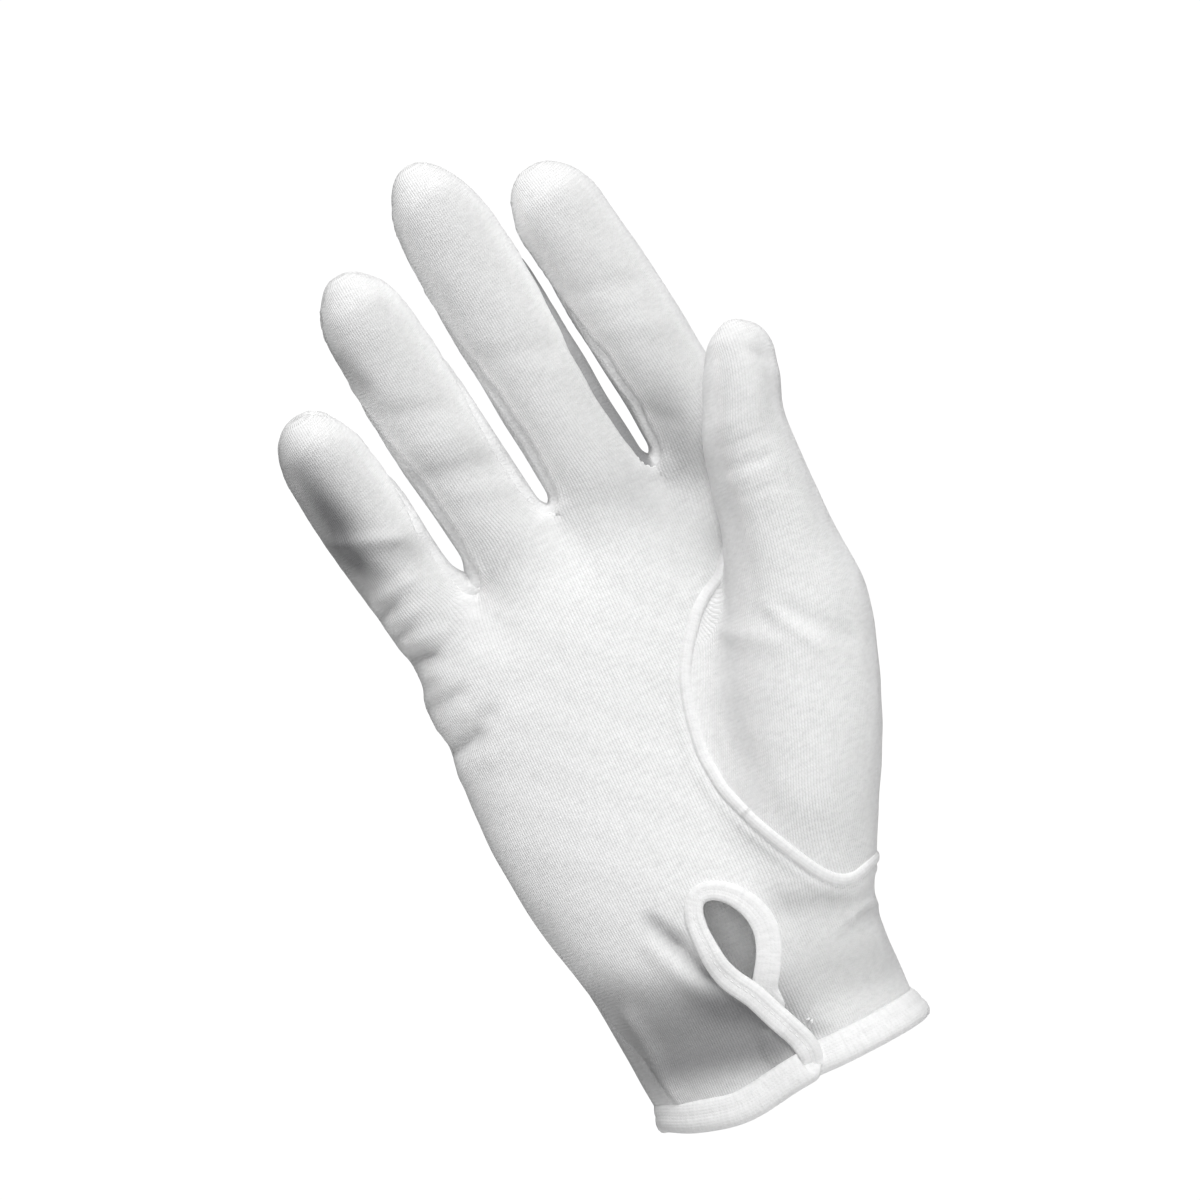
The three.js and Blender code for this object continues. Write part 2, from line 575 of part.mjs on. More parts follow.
function snapDisc() {
  const x = flapX(SNAP.height) - SNAP.inset;
  const at = SNAP.height / BODY_LENGTH;
  let [low, high] = [-Math.PI, 0];
  while (high - low > HALVING_END) {
    const halfway = (low + high) / 2;
    if (bodyPoint(at, halfway, 0).x < x) low = halfway;
    else high = halfway;
  }
  const angle = low;
  const middle = bodyPoint(at, angle, -(CLOTH + SEAM_GAP + SNAP.thickness / 2));
  const disc = new THREE.CylinderGeometry(SNAP.diameter / 2, SNAP.diameter / 2, SNAP.thickness, SNAP.sides);
  const outward = bodyPoint(at, angle, 1).sub(bodyPoint(at, angle, 0)).setZ(0).normalize();
  const turn = new THREE.Quaternion().setFromUnitVectors(new THREE.Vector3(0, 1, 0), outward);
  return solidFromGeometry(disc.applyQuaternion(turn).translate(middle.x, middle.y, middle.z));
}

// Scene

const COTTON = { color: 0xf4f4f2, roughness: 0.92, metalness: 0 };
const NICKEL = { color: 0xc9cacc, roughness: 0.35, metalness: 1 };

function meshFrom(name, solid, look) {
  const made = solid.getMesh();
  const geometry = new THREE.BufferGeometry();
  geometry.setAttribute("position", new THREE.BufferAttribute(new Float32Array(made.vertProperties), 3));
  geometry.setIndex(new THREE.BufferAttribute(new Uint32Array(made.triVerts), 1));
  geometry.computeVertexNormals();
  const mesh = new THREE.Mesh(geometry, new THREE.MeshStandardMaterial(look));
  mesh.name = name;
  return mesh;
}

const glove = new THREE.Group();
glove.add(meshFrom("palm_panel", palmPanel, COTTON));
glove.add(meshFrom("back_panel", backPanel, COTTON));
gussetPairs.forEach((pair) => {
  const solid = largest(wholeCloth.intersect(gussetTool(pair, 0)));
  glove.add(meshFrom(`fourchette_${pair[0].name}_${pair[1].name}`, solid, COTTON));
});
glove.add(meshFrom("thumb_piece", thumbPiece, COTTON));
glove.add(meshFrom("thumb_welt", thumbWelt, COTTON));
glove.add(meshFrom("wrist_hem", wristHem, COTTON));
glove.add(meshFrom("slit_binding", slitBinding, COTTON));
glove.add(meshFrom("wrist_snap", snapDisc(), NICKEL));

export default glove;
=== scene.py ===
# White cotton parade glove, right-handed, in its filled, worn form.
# Lengths in this script are millimetres in the frame's own axes, +Z towards the fingertips, the
# palm facing -Y, the thumb on the +X side. Meshes are turned to metres when they are made.

import math

import bmesh
import bpy
import numpy as np
from mathutils import Matrix, Vector
from mathutils.bvhtree import BVHTree
from mathutils.kdtree import KDTree


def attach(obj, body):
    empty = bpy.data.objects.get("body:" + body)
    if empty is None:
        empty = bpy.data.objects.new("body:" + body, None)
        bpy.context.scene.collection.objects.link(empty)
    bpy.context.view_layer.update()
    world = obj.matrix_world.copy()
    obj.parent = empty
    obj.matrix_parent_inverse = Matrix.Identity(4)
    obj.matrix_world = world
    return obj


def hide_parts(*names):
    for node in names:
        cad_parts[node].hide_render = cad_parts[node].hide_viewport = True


MM = 0.001
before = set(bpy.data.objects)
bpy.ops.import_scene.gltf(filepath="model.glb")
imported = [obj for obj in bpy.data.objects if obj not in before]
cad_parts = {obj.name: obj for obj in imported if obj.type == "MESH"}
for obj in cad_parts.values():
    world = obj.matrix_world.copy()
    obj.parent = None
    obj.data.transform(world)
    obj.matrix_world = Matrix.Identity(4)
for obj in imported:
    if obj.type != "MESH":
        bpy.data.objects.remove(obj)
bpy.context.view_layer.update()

# Sizes of the glove

BODY_LENGTH = 148.4
WRIST = {"width": 70.0, "depth": 42.0}
PALM = {"width": 100.0, "depth": 29.0}
WEB_APEX = 0.14
CLOTH_LOW = 1.6
KEYHOLE = {"bottom": 25.9, "top": 49.2, "left": -5.7, "right": 4.0, "tip": -1.4}


def table(columns, *rows):
    """The rows of a table, each by the names of its columns."""
    return [dict(zip(columns.split(), row)) for row in rows]


FLAP_EDGE = table("z x", (-8, 3), (0, 4.4), (8.5, 5.6), (16, 2.2), (KEYHOLE["bottom"], KEYHOLE["tip"]))

# Root is a finger's place as a share of the palm's width, drop is how far its web lies below the
# body's top, and lean and curl are degrees.
FINGERS = table(
    "name length width depth tip root drop lean_at_web lean_at_tip curl",
    ("little", 65.5, 22.8, 19.5, 15.5, -0.334, 15, -12.5, -6.8, 20),
    ("ring", 82, 23.8, 20, 19.5, -0.092, 5, -10, -6, 16),
    ("middle", 94.8, 25.2, 20.5, 22, 0.168, 1, -6.2, -7, 12),
    ("index", 83, 23.9, 20, 15.5, 0.434, 2, -4, -11, 10),
)
for finger in FINGERS:
    finger["shaft"] = finger["length"] - finger["tip"]
THUMB = {"bottom": 32.4, "reach": 140.8, "spread": 36, "forward": 18, "width": 43, "depth": 31}
THUMB_ROOT = {"x": 24.0, "y": -6.0}

# Body sections: at is the height as a share of BODY_LENGTH, and the other columns are shares of
# the width and depth of the size that the row follows, with the sag of the palm's edges last.
BODY_SECTIONS = table(
    "at of left right front back dome",
    (0.0, WRIST, 0.506, 0.472, 0.48, 0.48, 0),
    (0.085, WRIST, 0.526, 0.472, 0.48, 0.48, 0),
    (0.144, WRIST, 0.536, 0.474, 0.476, 0.47, 0),
    (0.213, WRIST, 0.545, 0.488, 0.467, 0.452, 0),
    (0.292, PALM, 0.402, 0.38, 0.634, 0.603, 0),
    (0.37, PALM, 0.429, 0.4, 0.59, 0.552, 0),
    (0.449, PALM, 0.447, 0.42, 0.545, 0.517, 0),
    (0.528, PALM, 0.459, 0.46, 0.507, 0.5, 0),
    (0.606, PALM, 0.459, 0.495, 0.476, 0.483, 0),
    (0.69, PALM, 0.453, 0.52, 0.455, 0.466, 0.02),
    (0.771, PALM, 0.45, 0.54, 0.434, 0.452, 0.05),
    (0.839, PALM, 0.46, 0.55, 0.407, 0.438, 0.12),
    (0.911, PALM, 0.415, 0.54, 0.338, 0.383, 0.3),
    (0.966, PALM, 0.355, 0.51, 0.245, 0.3, 0.5),
    (1.0, PALM, 0.29, 0.47, 0.14, 0.17, 0.63),
)

# Finger sections: at is the distance from the web as a share of the finger's shaft
FINGER_SECTIONS = table(
    "at wide deep",
    (-0.45, 0.84, 0.72),
    (-0.2, 0.97, 0.9),
    (0.0, 1.02, 0.99),
    (0.3, 0.985, 0.97),
    (0.55, 1.0, 0.97),
    (0.8, 0.985, 0.91),
    (1.0, 0.945, 0.86),
)

# Thumb sections: level rings, as shares of the thumb's reach, spread, forward, width and depth
THUMB_SECTIONS = table(
    "up out forward wide deep",
    (0.0, 0.0, 0.0, 0.37, 0.38),
    (0.1, 0.056, 0.056, 0.72, 0.71),
    (0.196, 0.153, 0.111, 0.91, 0.935),
    (0.294, 0.306, 0.167, 0.955, 1.0),
    (0.392, 0.444, 0.222, 0.96, 1.0),
    (0.49, 0.583, 0.333, 0.885, 0.935),
    (0.573, 0.667, 0.472, 0.767, 0.84),
    (0.657, 0.731, 0.667, 0.651, 0.774),
    (0.741, 0.769, 0.861, 0.586, 0.729),
    (0.825, 0.817, 0.989, 0.53, 0.684),
    (0.888, 0.917, 1.028, 0.507, 0.64),
    (0.944, 0.981, 1.028, 0.425, 0.53),
    (0.983, 1.0, 1.0, 0.25, 0.32),
    (1.0, 1.0, 1.0, 0.07, 0.09),
)

# The seam round the thumb piece on the palm side, from the thumb side of the wrist round to the
# web, and how far back it reaches on the thumb side at each height
THUMB_SEAM = table(
    "x z",
    (80, 42.5), (39.5, 40.6), (35.3, 39.6), (31.2, 38.4), (27.5, 39.8), (24, 43.8),
    (19.5, 52.3), (15.3, 61.2), (11.6, 71.6), (10.7, 81.5), (12.2, 91.8), (14.7, 99.9),
    (18.3, 106), (24.6, 113.6), (29.6, 117.2), (35.5, 118.6), (80, 118.6),
)
SEAM_BACK = table("z y", (30, 5), (80, 5), (92, 3.5), (100, 1.5), (106, -1.5), (113, -6), (119, -10))

ROUND_WRIST = 2.15
ROUND_PALM = 2.5
ROUND_FINGER = 2.2
ROUND_THUMB = 2.1


# Curves through tables


def column(rows, key, value):
    """A smooth curve through a table's column, read at any places along the key column."""
    keys = np.array([row[key] for row in rows], float)
    values = np.array([value(row) for row in rows], float)
    slopes = np.gradient(values, keys)

    def read(places):
        places = np.clip(np.asarray(places, float), keys[0], keys[-1])
        i = np.clip(np.searchsorted(keys, places, side="right") - 1, 0, len(keys) - 2)
        span = keys[i + 1] - keys[i]
        t = (places - keys[i]) / span
        h = t * t * (3 - 2 * t)
        leave = slopes[i] * span * t * (1 - t) ** 2
        arrive = slopes[i + 1] * span * t * t * (t - 1)
        return values[i] * (1 - h) + values[i + 1] * h + leave + arrive

    return read


def smoothstep(x, low, high):
    t = np.clip((np.asarray(x, float) - low) / (high - low), 0, 1)
    return t * t * (3 - 2 * t)


def bell(x, wide):
    """1 in the middle, falling to nothing on both sides at about twice the width."""
    return np.exp(-(x / wide) ** 2)


def unit(vectors):
    return vectors / np.maximum(np.linalg.norm(vectors, axis=-1, keepdims=True), 1e-9)


def interpolated(places, keys, values):
    """Rows of values, such as points, read between their keys."""
    return np.stack([np.interp(places, keys, values[:, k]) for k in range(values.shape[1])], -1)


def circle(count):
    return np.linspace(0, 2 * math.pi, count, endpoint=False)


body_left = column(BODY_SECTIONS, "at", lambda row: row["left"] * row["of"]["width"])
body_right = column(BODY_SECTIONS, "at", lambda row: row["right"] * row["of"]["width"])
body_front = column(BODY_SECTIONS, "at", lambda row: row["front"] * row["of"]["depth"])
body_back = column(BODY_SECTIONS, "at", lambda row: row["back"] * row["of"]["depth"])
body_dome = column(BODY_SECTIONS, "at", lambda row: row["dome"] * PALM["depth"])
finger_wide = column(FINGER_SECTIONS, "at", lambda row: row["wide"])
finger_deep = column(FINGER_SECTIONS, "at", lambda row: row["deep"])
thumb_x = column(THUMB_SECTIONS, "up", lambda row: THUMB_ROOT["x"] + row["out"] * THUMB["spread"])
thumb_y = column(THUMB_SECTIONS, "up", lambda row: THUMB_ROOT["y"] - row["forward"] * THUMB["forward"])
thumb_wide = column(THUMB_SECTIONS, "up", lambda row: row["wide"] * THUMB["width"] / 2)
thumb_deep = column(THUMB_SECTIONS, "up", lambda row: row["deep"] * THUMB["depth"] / 2)
flap_x = column(FLAP_EDGE, "z", lambda row: row["x"])


def rounded(angles, roundness):
    """Points of a rounded outline of half size 1: 2 is an ellipse, and more is squarer."""
    power = 2 / roundness
    c, s = np.cos(angles), np.sin(angles)
    return np.sign(c) * np.abs(c) ** power, np.sign(s) * np.abs(s) ** power


# Rough lofts, a little slimmer than the glove so that they melt into one skin without bridges

VOXEL = 1.0
SLIM = 0.9
BELOW_WEB = 0.45  # how far a finger reaches down into the palm, as a share of its shaft
MIDLINE_STEP = 0.5


def body_roundness(at):
    return ROUND_WRIST + (ROUND_PALM - ROUND_WRIST) * smoothstep(at, 0.2, 0.5)


def from_apex(x):
    """How far each place is from the middle of the body's domed top, in half palms."""
    return (x - WEB_APEX * PALM["width"]) / (PALM["width"] / 2)


def body_ring(at, angles):
    left, right = body_left(at), body_right(at)
    across, deep = rounded(angles, body_roundness(at))
    x = (right - left) / 2 + across * (left + right) / 2
    y = deep * np.where(deep < 0, body_front(at), body_back(at))
    z = at * BODY_LENGTH - body_dome(at) * from_apex(x) ** 2
    return np.stack([x, y, z + 0 * x], 1)


def midline(finger):
    """Points and headings along a finger's middle line, at distances from its web."""
    steps = np.arange(-0.5 * finger["shaft"], finger["length"] + 6, MIDLINE_STEP)
    share = np.clip(steps / finger["length"], 0, None)
    lean = np.radians(finger["lean_at_web"] + (finger["lean_at_tip"] - finger["lean_at_web"]) * share)
    curl = np.radians(finger["curl"]) * share
    heading = np.stack([np.sin(lean) * np.cos(curl), -np.sin(curl), np.cos(lean) * np.cos(curl)], 1)
    path = np.cumsum(heading * MIDLINE_STEP, 0)
    root = np.array([finger["root"] * PALM["width"], 0, BODY_LENGTH - finger["drop"]])
    return steps, path + root - path[np.argmin(np.abs(steps))], heading


MIDLINES = [midline(finger) for finger in FINGERS]


def finger_frame(index, distance):
    """Place, heading, deep and across directions at distances along a finger."""
    steps, path, heading = MIDLINES[index]
    along = unit(interpolated(distance, steps, heading))
    deep = unit(np.array([0.0, 1.0, 0.0]) - along * along[..., 1:2])
    return interpolated(distance, steps, path), along, deep, np.cross(deep, along)


def shaft_half(finger, distance):
    """Half width and half depth of a finger's shaft at distances from its web."""
    at = np.clip(distance / finger["shaft"], -BELOW_WEB, 1)
    return finger_wide(at) * finger["width"] / 2, finger_deep(at) * finger["depth"] / 2


def grid_faces(rows, around, ring=True, closed=False):
    """Faces between rows of points, where a row is a ring or a strip, and the last may meet the first."""
    return [(r * around + i, r * around + (i + 1) % around,
             (r + 1) % rows * around + (i + 1) % around, (r + 1) % rows * around + i)
            for r in range(rows - 1 + closed) for i in range(around - 1 + ring)]


def loft(rings):
    """Vertices and faces of a closed solid through rings of points."""
    count = len(rings[0])
    vertices = np.concatenate(rings + [rings[0].mean(0)[None], rings[-1].mean(0)[None]])
    faces = grid_faces(len(rings), count)
    start, last = len(vertices) - 2, (len(rings) - 1) * count
    for i in range(count):
        j = (i + 1) % count
        faces += [(start, j, i), (start + 1, last + i, last + j)]
    return vertices, faces


def body_loft():
    angles = circle(96)
    rings = [body_ring(0.0, angles) * (1, 1, 0) + (0, 0, z) for z in (-9, -6, -3)]
    return loft(rings + [body_ring(at, angles) for at in np.linspace(0, 1, 60)])


def finger_loft(index):
    finger = FINGERS[index]
    shaft, tip = finger["shaft"], finger["tip"]
    across, deep = rounded(circle(48), ROUND_FINGER)
    distances = list(np.linspace(-BELOW_WEB * shaft, shaft, 32))
    distances += [shaft + tip * math.sin(turn) for turn in np.linspace(0.12, 1.5, 12)]
    rings = []
    for distance in distances:
        place, _, deep_way, across_way = finger_frame(index, distance)
        wide, high = shaft_half(finger, distance)
        narrow = math.sqrt(1 - min(max((distance - shaft) / tip, 0), 0.999) ** 2)
        wide, high = (wide - SLIM) * narrow, (high - SLIM) * narrow
        rings.append(place + np.outer(across * wide, across_way) + np.outer(deep * high, deep_way))
    return loft(rings)


def thumb_loft():
    across, deep = rounded(circle(56), ROUND_THUMB)
    rings = []
    for t in np.linspace(0, 1, 64):
        up = 1 - (1 - t) ** 1.5
        x = thumb_x(up) + across * thumb_wide(up)
        y = thumb_y(up) + deep * thumb_deep(up)
        rings.append(np.stack([x, y, np.full_like(x, THUMB["bottom"] + up * THUMB["reach"])], 1))
    return loft(rings)


def new_mesh(name, vertices, faces):
    mesh = bpy.data.meshes.new(name)
    mesh.from_pydata([tuple(v) for v in np.asarray(vertices) * MM], [], faces)
    mesh.update()
    piece = bpy.data.objects.new(name, mesh)
    bpy.context.scene.collection.objects.link(piece)
    return piece


def applied(piece):
    """The piece's mesh with its modifiers applied."""
    return bpy.data.meshes.new_from_object(piece.evaluated_get(bpy.context.evaluated_depsgraph_get()))


def joined_skin():
    """The rough lofts melted into one skin of small even faces, as arrays."""
    vertices, faces = [], []
    for points, sides in [body_loft(), *map(finger_loft, range(len(FINGERS))), thumb_loft()]:
        faces += [tuple(i + len(vertices) for i in face) for face in sides]
        vertices += list(points)
    piece = new_mesh("skin", vertices, faces)
    remesh = piece.modifiers.new("remesh", "REMESH")
    remesh.mode = "VOXEL"
    remesh.voxel_size = VOXEL * MM
    mesh = applied(piece)
    places = np.zeros(len(mesh.vertices) * 3)
    mesh.vertices.foreach_get("co", places)
    faces = [tuple(face.vertices) for face in mesh.polygons]
    bpy.data.objects.remove(piece)
    bpy.data.meshes.remove(mesh)
    return places.reshape(-1, 3) / MM, faces


# The true surface: distances from each limb, rounded off where limbs meet


def oval_distance(across, deep, half_wide, half_deep, power, beyond=0.0, tip=1.0):
    """Distance outside an oval tube, in millimetres, with a rounded tip past its end."""
    u, v = np.abs(across) / half_wide, np.abs(deep) / half_deep
    ring = np.maximum((u ** power + v ** power) ** (1 / power), 1e-4)
    slope = np.hypot((u / ring) ** (power - 1) / half_wide, (v / ring) ** (power - 1) / half_deep)
    past = np.clip(beyond, 0, None) / tip
    whole = np.hypot(ring, past)
    slope = np.hypot(ring / whole * slope, past / whole / tip)
    return (whole - 1) / np.maximum(slope, 1e-3)


def blended(a, b, reach):
    """The nearer of two surfaces, with a fillet where both are within reach of each other."""
    reach = np.maximum(reach, 1e-3)
    mix = np.clip(reach - np.abs(a - b), 0, None) / reach
    return np.minimum(a, b) - mix ** 2 * reach / 4


def body_distance(points):
    x, y, z = points.T
    away = from_apex(x)
    at = np.clip(z / BODY_LENGTH, 0, 1)
    for _ in range(4):
        at = np.clip((z + body_dome(at) * away ** 2) / BODY_LENGTH, 0, 1)
    left, right = body_left(at), body_right(at)
    half_deep = np.where(y < 0, body_front(at), body_back(at))
    side = oval_distance(x - (right - left) / 2, y, (left + right) / 2, half_deep, body_roundness(at))
    top = z - (BODY_LENGTH - body_dome(1.0) * away ** 2)
    return -blended(-side, -top, 3.0)


def thumb_distance(points):
    x, y, z = points.T
    up = np.clip((z - THUMB["bottom"]) / THUMB["reach"], 0, 0.985)
    side = oval_distance(x - thumb_x(up), y - thumb_y(up), thumb_wide(up), thumb_deep(up), ROUND_THUMB)
    return np.maximum(side, THUMB["bottom"] - z)


def finger_places(index, points):
    """Distance along a finger, and the offsets across and through it, of each point."""
    steps, path, _ = MIDLINES[index]
    distance = np.interp(points[:, 2], path[:, 2], steps)
    for _ in range(3):
        place, along, _, _ = finger_frame(index, distance)
        distance = np.clip(distance + ((points - place) * along).sum(1), steps[0], steps[-1])
    place, along, deep, across = finger_frame(index, distance)
    offset = points - place
    return distance + (offset * along).sum(1), (offset * across).sum(1), (offset * deep).sum(1)


WEB_FILLET = 6.0
THUMB_FILLET = 7.0


class Limbs:
    """How far each point is from each limb, and where on its finger it is."""

    def __init__(self, points):
        self.places = [finger_places(i, points) for i in range(len(FINGERS))]
        self.hand, ways = body_distance(points), []
        for finger, (distance, across, deep) in zip(FINGERS, self.places):
            shaft = finger["shaft"]
            wide, high = shaft_half(finger, distance)
            way = oval_distance(across, deep, wide, high, ROUND_FINGER, distance - shaft, finger["tip"])
            ways.append(np.maximum(way, -BELOW_WEB * shaft - distance))
            self.hand = blended(self.hand, ways[-1], WEB_FILLET * (1 - smoothstep(distance, 3, 14)))
        self.thumb = thumb_distance(points)
        own = [way + np.clip(-8 - place[0], 0, None) for way, place in zip(ways, self.places)]
        self.finger = np.argmin(own, 0)
        places = np.array(self.places)[self.finger, :, np.arange(len(points))]
        self.distance, self.across, self.deep = places.T
        self.on_finger = smoothstep(self.distance, -14, 2)
        crotch = 1 - smoothstep(points[:, 2], 116, 132)
        self.skin = blended(self.hand, self.thumb, THUMB_FILLET * crotch)
        above = points[:, 2] - THUMB["bottom"] - 0.93 * THUMB["reach"]
        self.settled = 1 - smoothstep(above, 0, 5) * (self.thumb < 3)


def sides_of(face):
    """A face's edges in order, each with its lower point first."""
    return [(a, b) if a < b else (b, a) for a, b in zip(face, face[1:] + face[:1])]


def edges_of(faces):
    return np.array(sorted({edge for face in faces for edge in sides_of(face)}))


def point_normals(vertices, faces):
    normals = np.zeros_like(vertices)
    for size in sorted({len(face) for face in faces}):
        group = np.array([face for face in faces if len(face) == size])
        corners = vertices[group]
        around = np.cross(corners, np.roll(corners, -1, 1)).sum(1)
        for k in range(size):
            np.add.at(normals, group[:, k], around)
    return unit(normals)


def relax(vertices, edges, rounds, share=0.5, moving=None, normals=None):
    """Moves each point towards the middle of its neighbours, or along the surface alone."""
    count = np.zeros(len(vertices))
    np.add.at(count, edges[:, 0], 1)
    np.add.at(count, edges[:, 1], 1)
    count = np.maximum(count, 1)[:, None]
    for _ in range(rounds):
        total = np.zeros_like(vertices)
        np.add.at(total, edges[:, 0], vertices[edges[:, 1]])
        np.add.at(total, edges[:, 1], vertices[edges[:, 0]])
        step = np.where(total.any(1, keepdims=True), total / count - vertices, 0) * share
        if normals is not None:
            step -= normals * (step * normals).sum(1, keepdims=True)
        vertices = vertices + (step if moving is None else step * moving[:, None])
    return vertices


skin, skin_faces = joined_skin()
skin_edges = edges_of(skin_faces)
skin = relax(skin, skin_edges, 5)
for _ in range(5):
    normals = point_normals(skin, skin_faces)
    here = Limbs(skin)
    skin = skin - normals * (np.clip(here.skin, -1.5, 1.5) * here.settled)[:, None]
    skin = relax(skin, skin_edges, 1, 0.5, None, normals)


# Fields that tell the panels apart

SIDE_SEAM = {"forward": 11.0, "low": 8.0, "high": 44.0}


def side_field(points, limbs):
    """Below zero on the palm side. By the wrist the little finger's side seam comes forward."""
    side = points[:, 1] * (1 - limbs.on_finger) + limbs.deep * limbs.on_finger
    forward = 1 - smoothstep(points[:, 2], SIDE_SEAM["low"], SIDE_SEAM["high"])
    return side + SIDE_SEAM["forward"] * forward * (points[:, 0] < 0)


def outline_field(points, outline):
    """How far inside a closed outline in x and z each point is, in millimetres."""
    x, z = points[:, 0], points[:, 2]
    inside = np.zeros(len(points), bool)
    nearest = np.full(len(points), 1e9)
    for a, b in zip(outline, np.roll(outline, -1, 0)):
        way = b - a
        t = np.clip(((x - a[0]) * way[0] + (z - a[1]) * way[1]) / max(way @ way, 1e-9), 0, 1)
        nearest = np.minimum(nearest, np.hypot(x - a[0] - t * way[0], z - a[1] - t * way[1]))
        crosses = (a[1] > z) != (b[1] > z)
        with np.errstate(divide="ignore", invalid="ignore"):
            at_x = a[0] + (z - a[1]) * way[0] / way[1]
        inside ^= crosses & (x < at_x)
    return np.where(inside, nearest, -nearest)


THUMB_FREE = 106  # height from which the thumb stands clear of the palm
OUTSIDE = -9.0  # a field's value well outside its panel
GUSSET = {"root": 0.5, "quarter": 0.6, "middle": 0.55, "end": 0.9, "under": 0.6, "waver": 0.15}
GUSSETS = ("little_ring", "ring_middle", "middle_index")


def thumb_piece_field(points, limbs):
    """Above zero on the thumb piece: inside its seam on the palm side, and the thumb itself."""
    z = points[:, 2]
    back = np.interp(z, [row["z"] for row in SEAM_BACK], [row["y"] for row in SEAM_BACK]) - points[:, 1]
    seam = np.array([(row["x"], row["z"]) for row in THUMB_SEAM])
    low = np.minimum(outline_field(points, seam), back)
    return np.maximum(low, np.where(z > THUMB_FREE, limbs.hand - limbs.thumb, OUTSIDE))


def gusset_field(limbs, low):
    """Above zero on the strip between finger number low and the next one."""
    shares = [GUSSET["root"], GUSSET["quarter"], GUSSET["middle"], 0.0]
    fields = []
    for index, side in ((low, 1), (low + 1, -1)):
        finger = FINGERS[index]
        distance, across, deep = limbs.places[index]
        wide, _ = shaft_half(finger, distance)
        at = np.clip(distance / finger["shaft"], 0, 1)
        half = np.interp(at, [0, 0.25, 0.5, GUSSET["end"]], shares) * finger["depth"] / 2
        half += GUSSET["waver"] * np.sin(distance / 1.9 + index)
        field = np.minimum(half - np.abs(deep), side * across - 0.3 * wide)
        field = np.minimum(field, distance + GUSSET["under"])
        fields.append(np.where(limbs.finger == index, field, OUTSIDE))
    return np.maximum(*fields)


def keyhole_outline(grow=0.0, steps=28):
    """The keyhole's edge in x and z, from its bottom tip up the little finger's side and round."""
    left, right = KEYHOLE["left"] - grow, KEYHOLE["right"] + grow
    bottom, top = KEYHOLE["bottom"] - grow, KEYHOLE["top"] + grow

    def at(u, v):
        return np.array([left + (right - left) * u, bottom + (top - bottom) * v])
    start = np.array([KEYHOLE["tip"], bottom])
    turns = [
        (start, at(-0.02, 0.16), at(0, 0.36), at(0, 0.66)),
        (at(0, 0.66), at(0, 0.86), at(0.08, 1.0), at(0.3, 1.0)),
        (at(0.3, 1.0), at(0.62, 1.0), at(0.92, 0.8), at(0.98, 0.58)),
        (at(0.98, 0.58), at(1.04, 0.36), at(0.7, 0.12), start),
    ]
    t = np.linspace(0, 1, steps, endpoint=False)[:, None]
    pieces = [a * (1 - t) ** 3 + 3 * b * t * (1 - t) ** 2 + 3 * c * t * t * (1 - t) + d * t ** 3
              for a, b, c, d in turns]
    return np.concatenate(pieces)


keyhole = keyhole_outline()


def hole_field(points, limbs):
    return np.where(points[:, 1] < 0, outline_field(points, keyhole), OUTSIDE)


def slit_field(points, limbs):
    """Above zero on the inner flap, which starts at the outer flap's edge below the keyhole."""
    below = KEYHOLE["bottom"] + 0.6 - points[:, 2]
    inward = np.minimum(points[:, 0] - flap_x(points[:, 2]), 20 - points[:, 0])
    return np.where(points[:, 1] < 0, np.minimum(below, inward), OUTSIDE)


FIELDS = {
    "hem": lambda points, limbs: CLOTH_LOW - points[:, 2],
    "hole": hole_field,
    "slit": slit_field,
    "side": side_field,
    **{name: lambda points, limbs, low=low: gusset_field(limbs, low) for low, name in enumerate(GUSSETS)},
    "thumb": thumb_piece_field,
}
CROSSING = 0.22  # a point this near to the line, as a share of an edge, moves onto it


def cut_along(points, faces, values):
    """Splits faces so that edges run along the line where the values are zero."""
    edges = edges_of(faces)
    a, b = edges.T
    crossing = values[a] * values[b] < 0
    a, b = a[crossing], b[crossing]
    share = values[a] / (values[a] - values[b])
    points, values = points.copy(), values.copy()
    nearest = {}
    for one, other, t in [*zip(a, b, share), *zip(b, a, 1 - share)]:
        if t < CROSSING and t < nearest.get(one, (1, 0))[0]:
            nearest[one] = (t, other)
    moved = {one: points[one] + (points[other] - points[one]) * t for one, (t, other) in nearest.items()}
    for one, place in moved.items():
        points[one] = place
        values[one] = 0
    crossing = values[a] * values[b] < 0
    a, b = a[crossing], b[crossing]
    share = (values[a] / (values[a] - values[b]))[:, None]
    made = points[a] + (points[b] - points[a]) * share
    middle = {(int(i), int(j)): len(points) + n for n, (i, j) in enumerate(zip(a, b))}
    points = np.concatenate([points, made])
    values = np.concatenate([values, np.zeros(len(made))])
    result = []
    for face in faces:
        signs = values[list(face)]
        if signs.min() >= 0 or signs.max() <= 0:
            result.append(face)
            continue
        loop = []
        for one, edge in zip(face, sides_of(face)):
            loop += [one, middle[edge]] if edge in middle else [one]
        zeros = [i for i, one in enumerate(loop) if values[one] == 0]
        first, last = zeros[0], zeros[-1]
        result.append(tuple(loop[first:last + 1]))
        result.append(tuple(loop[last:] + loop[:first + 1]))
    return points, [face for face in result if len(face) > 2]


for field in FIELDS.values():
    skin, skin_faces = cut_along(skin, skin_faces, field(skin, Limbs(skin)))
skin_edges = edges_of(skin_faces)
limbs = Limbs(skin)
fields = {name: field(skin, limbs) for name, field in FIELDS.items()}

PANELS = ["palm_panel", "back_panel", *("fourchette_" + name for name in GUSSETS), "thumb_piece"]
PALM_SIDE, BACK_SIDE, FIRST_GUSSET, THUMB_PIECE, INNER_FLAP, OPEN = 0, 1, 2, 5, 6, -1


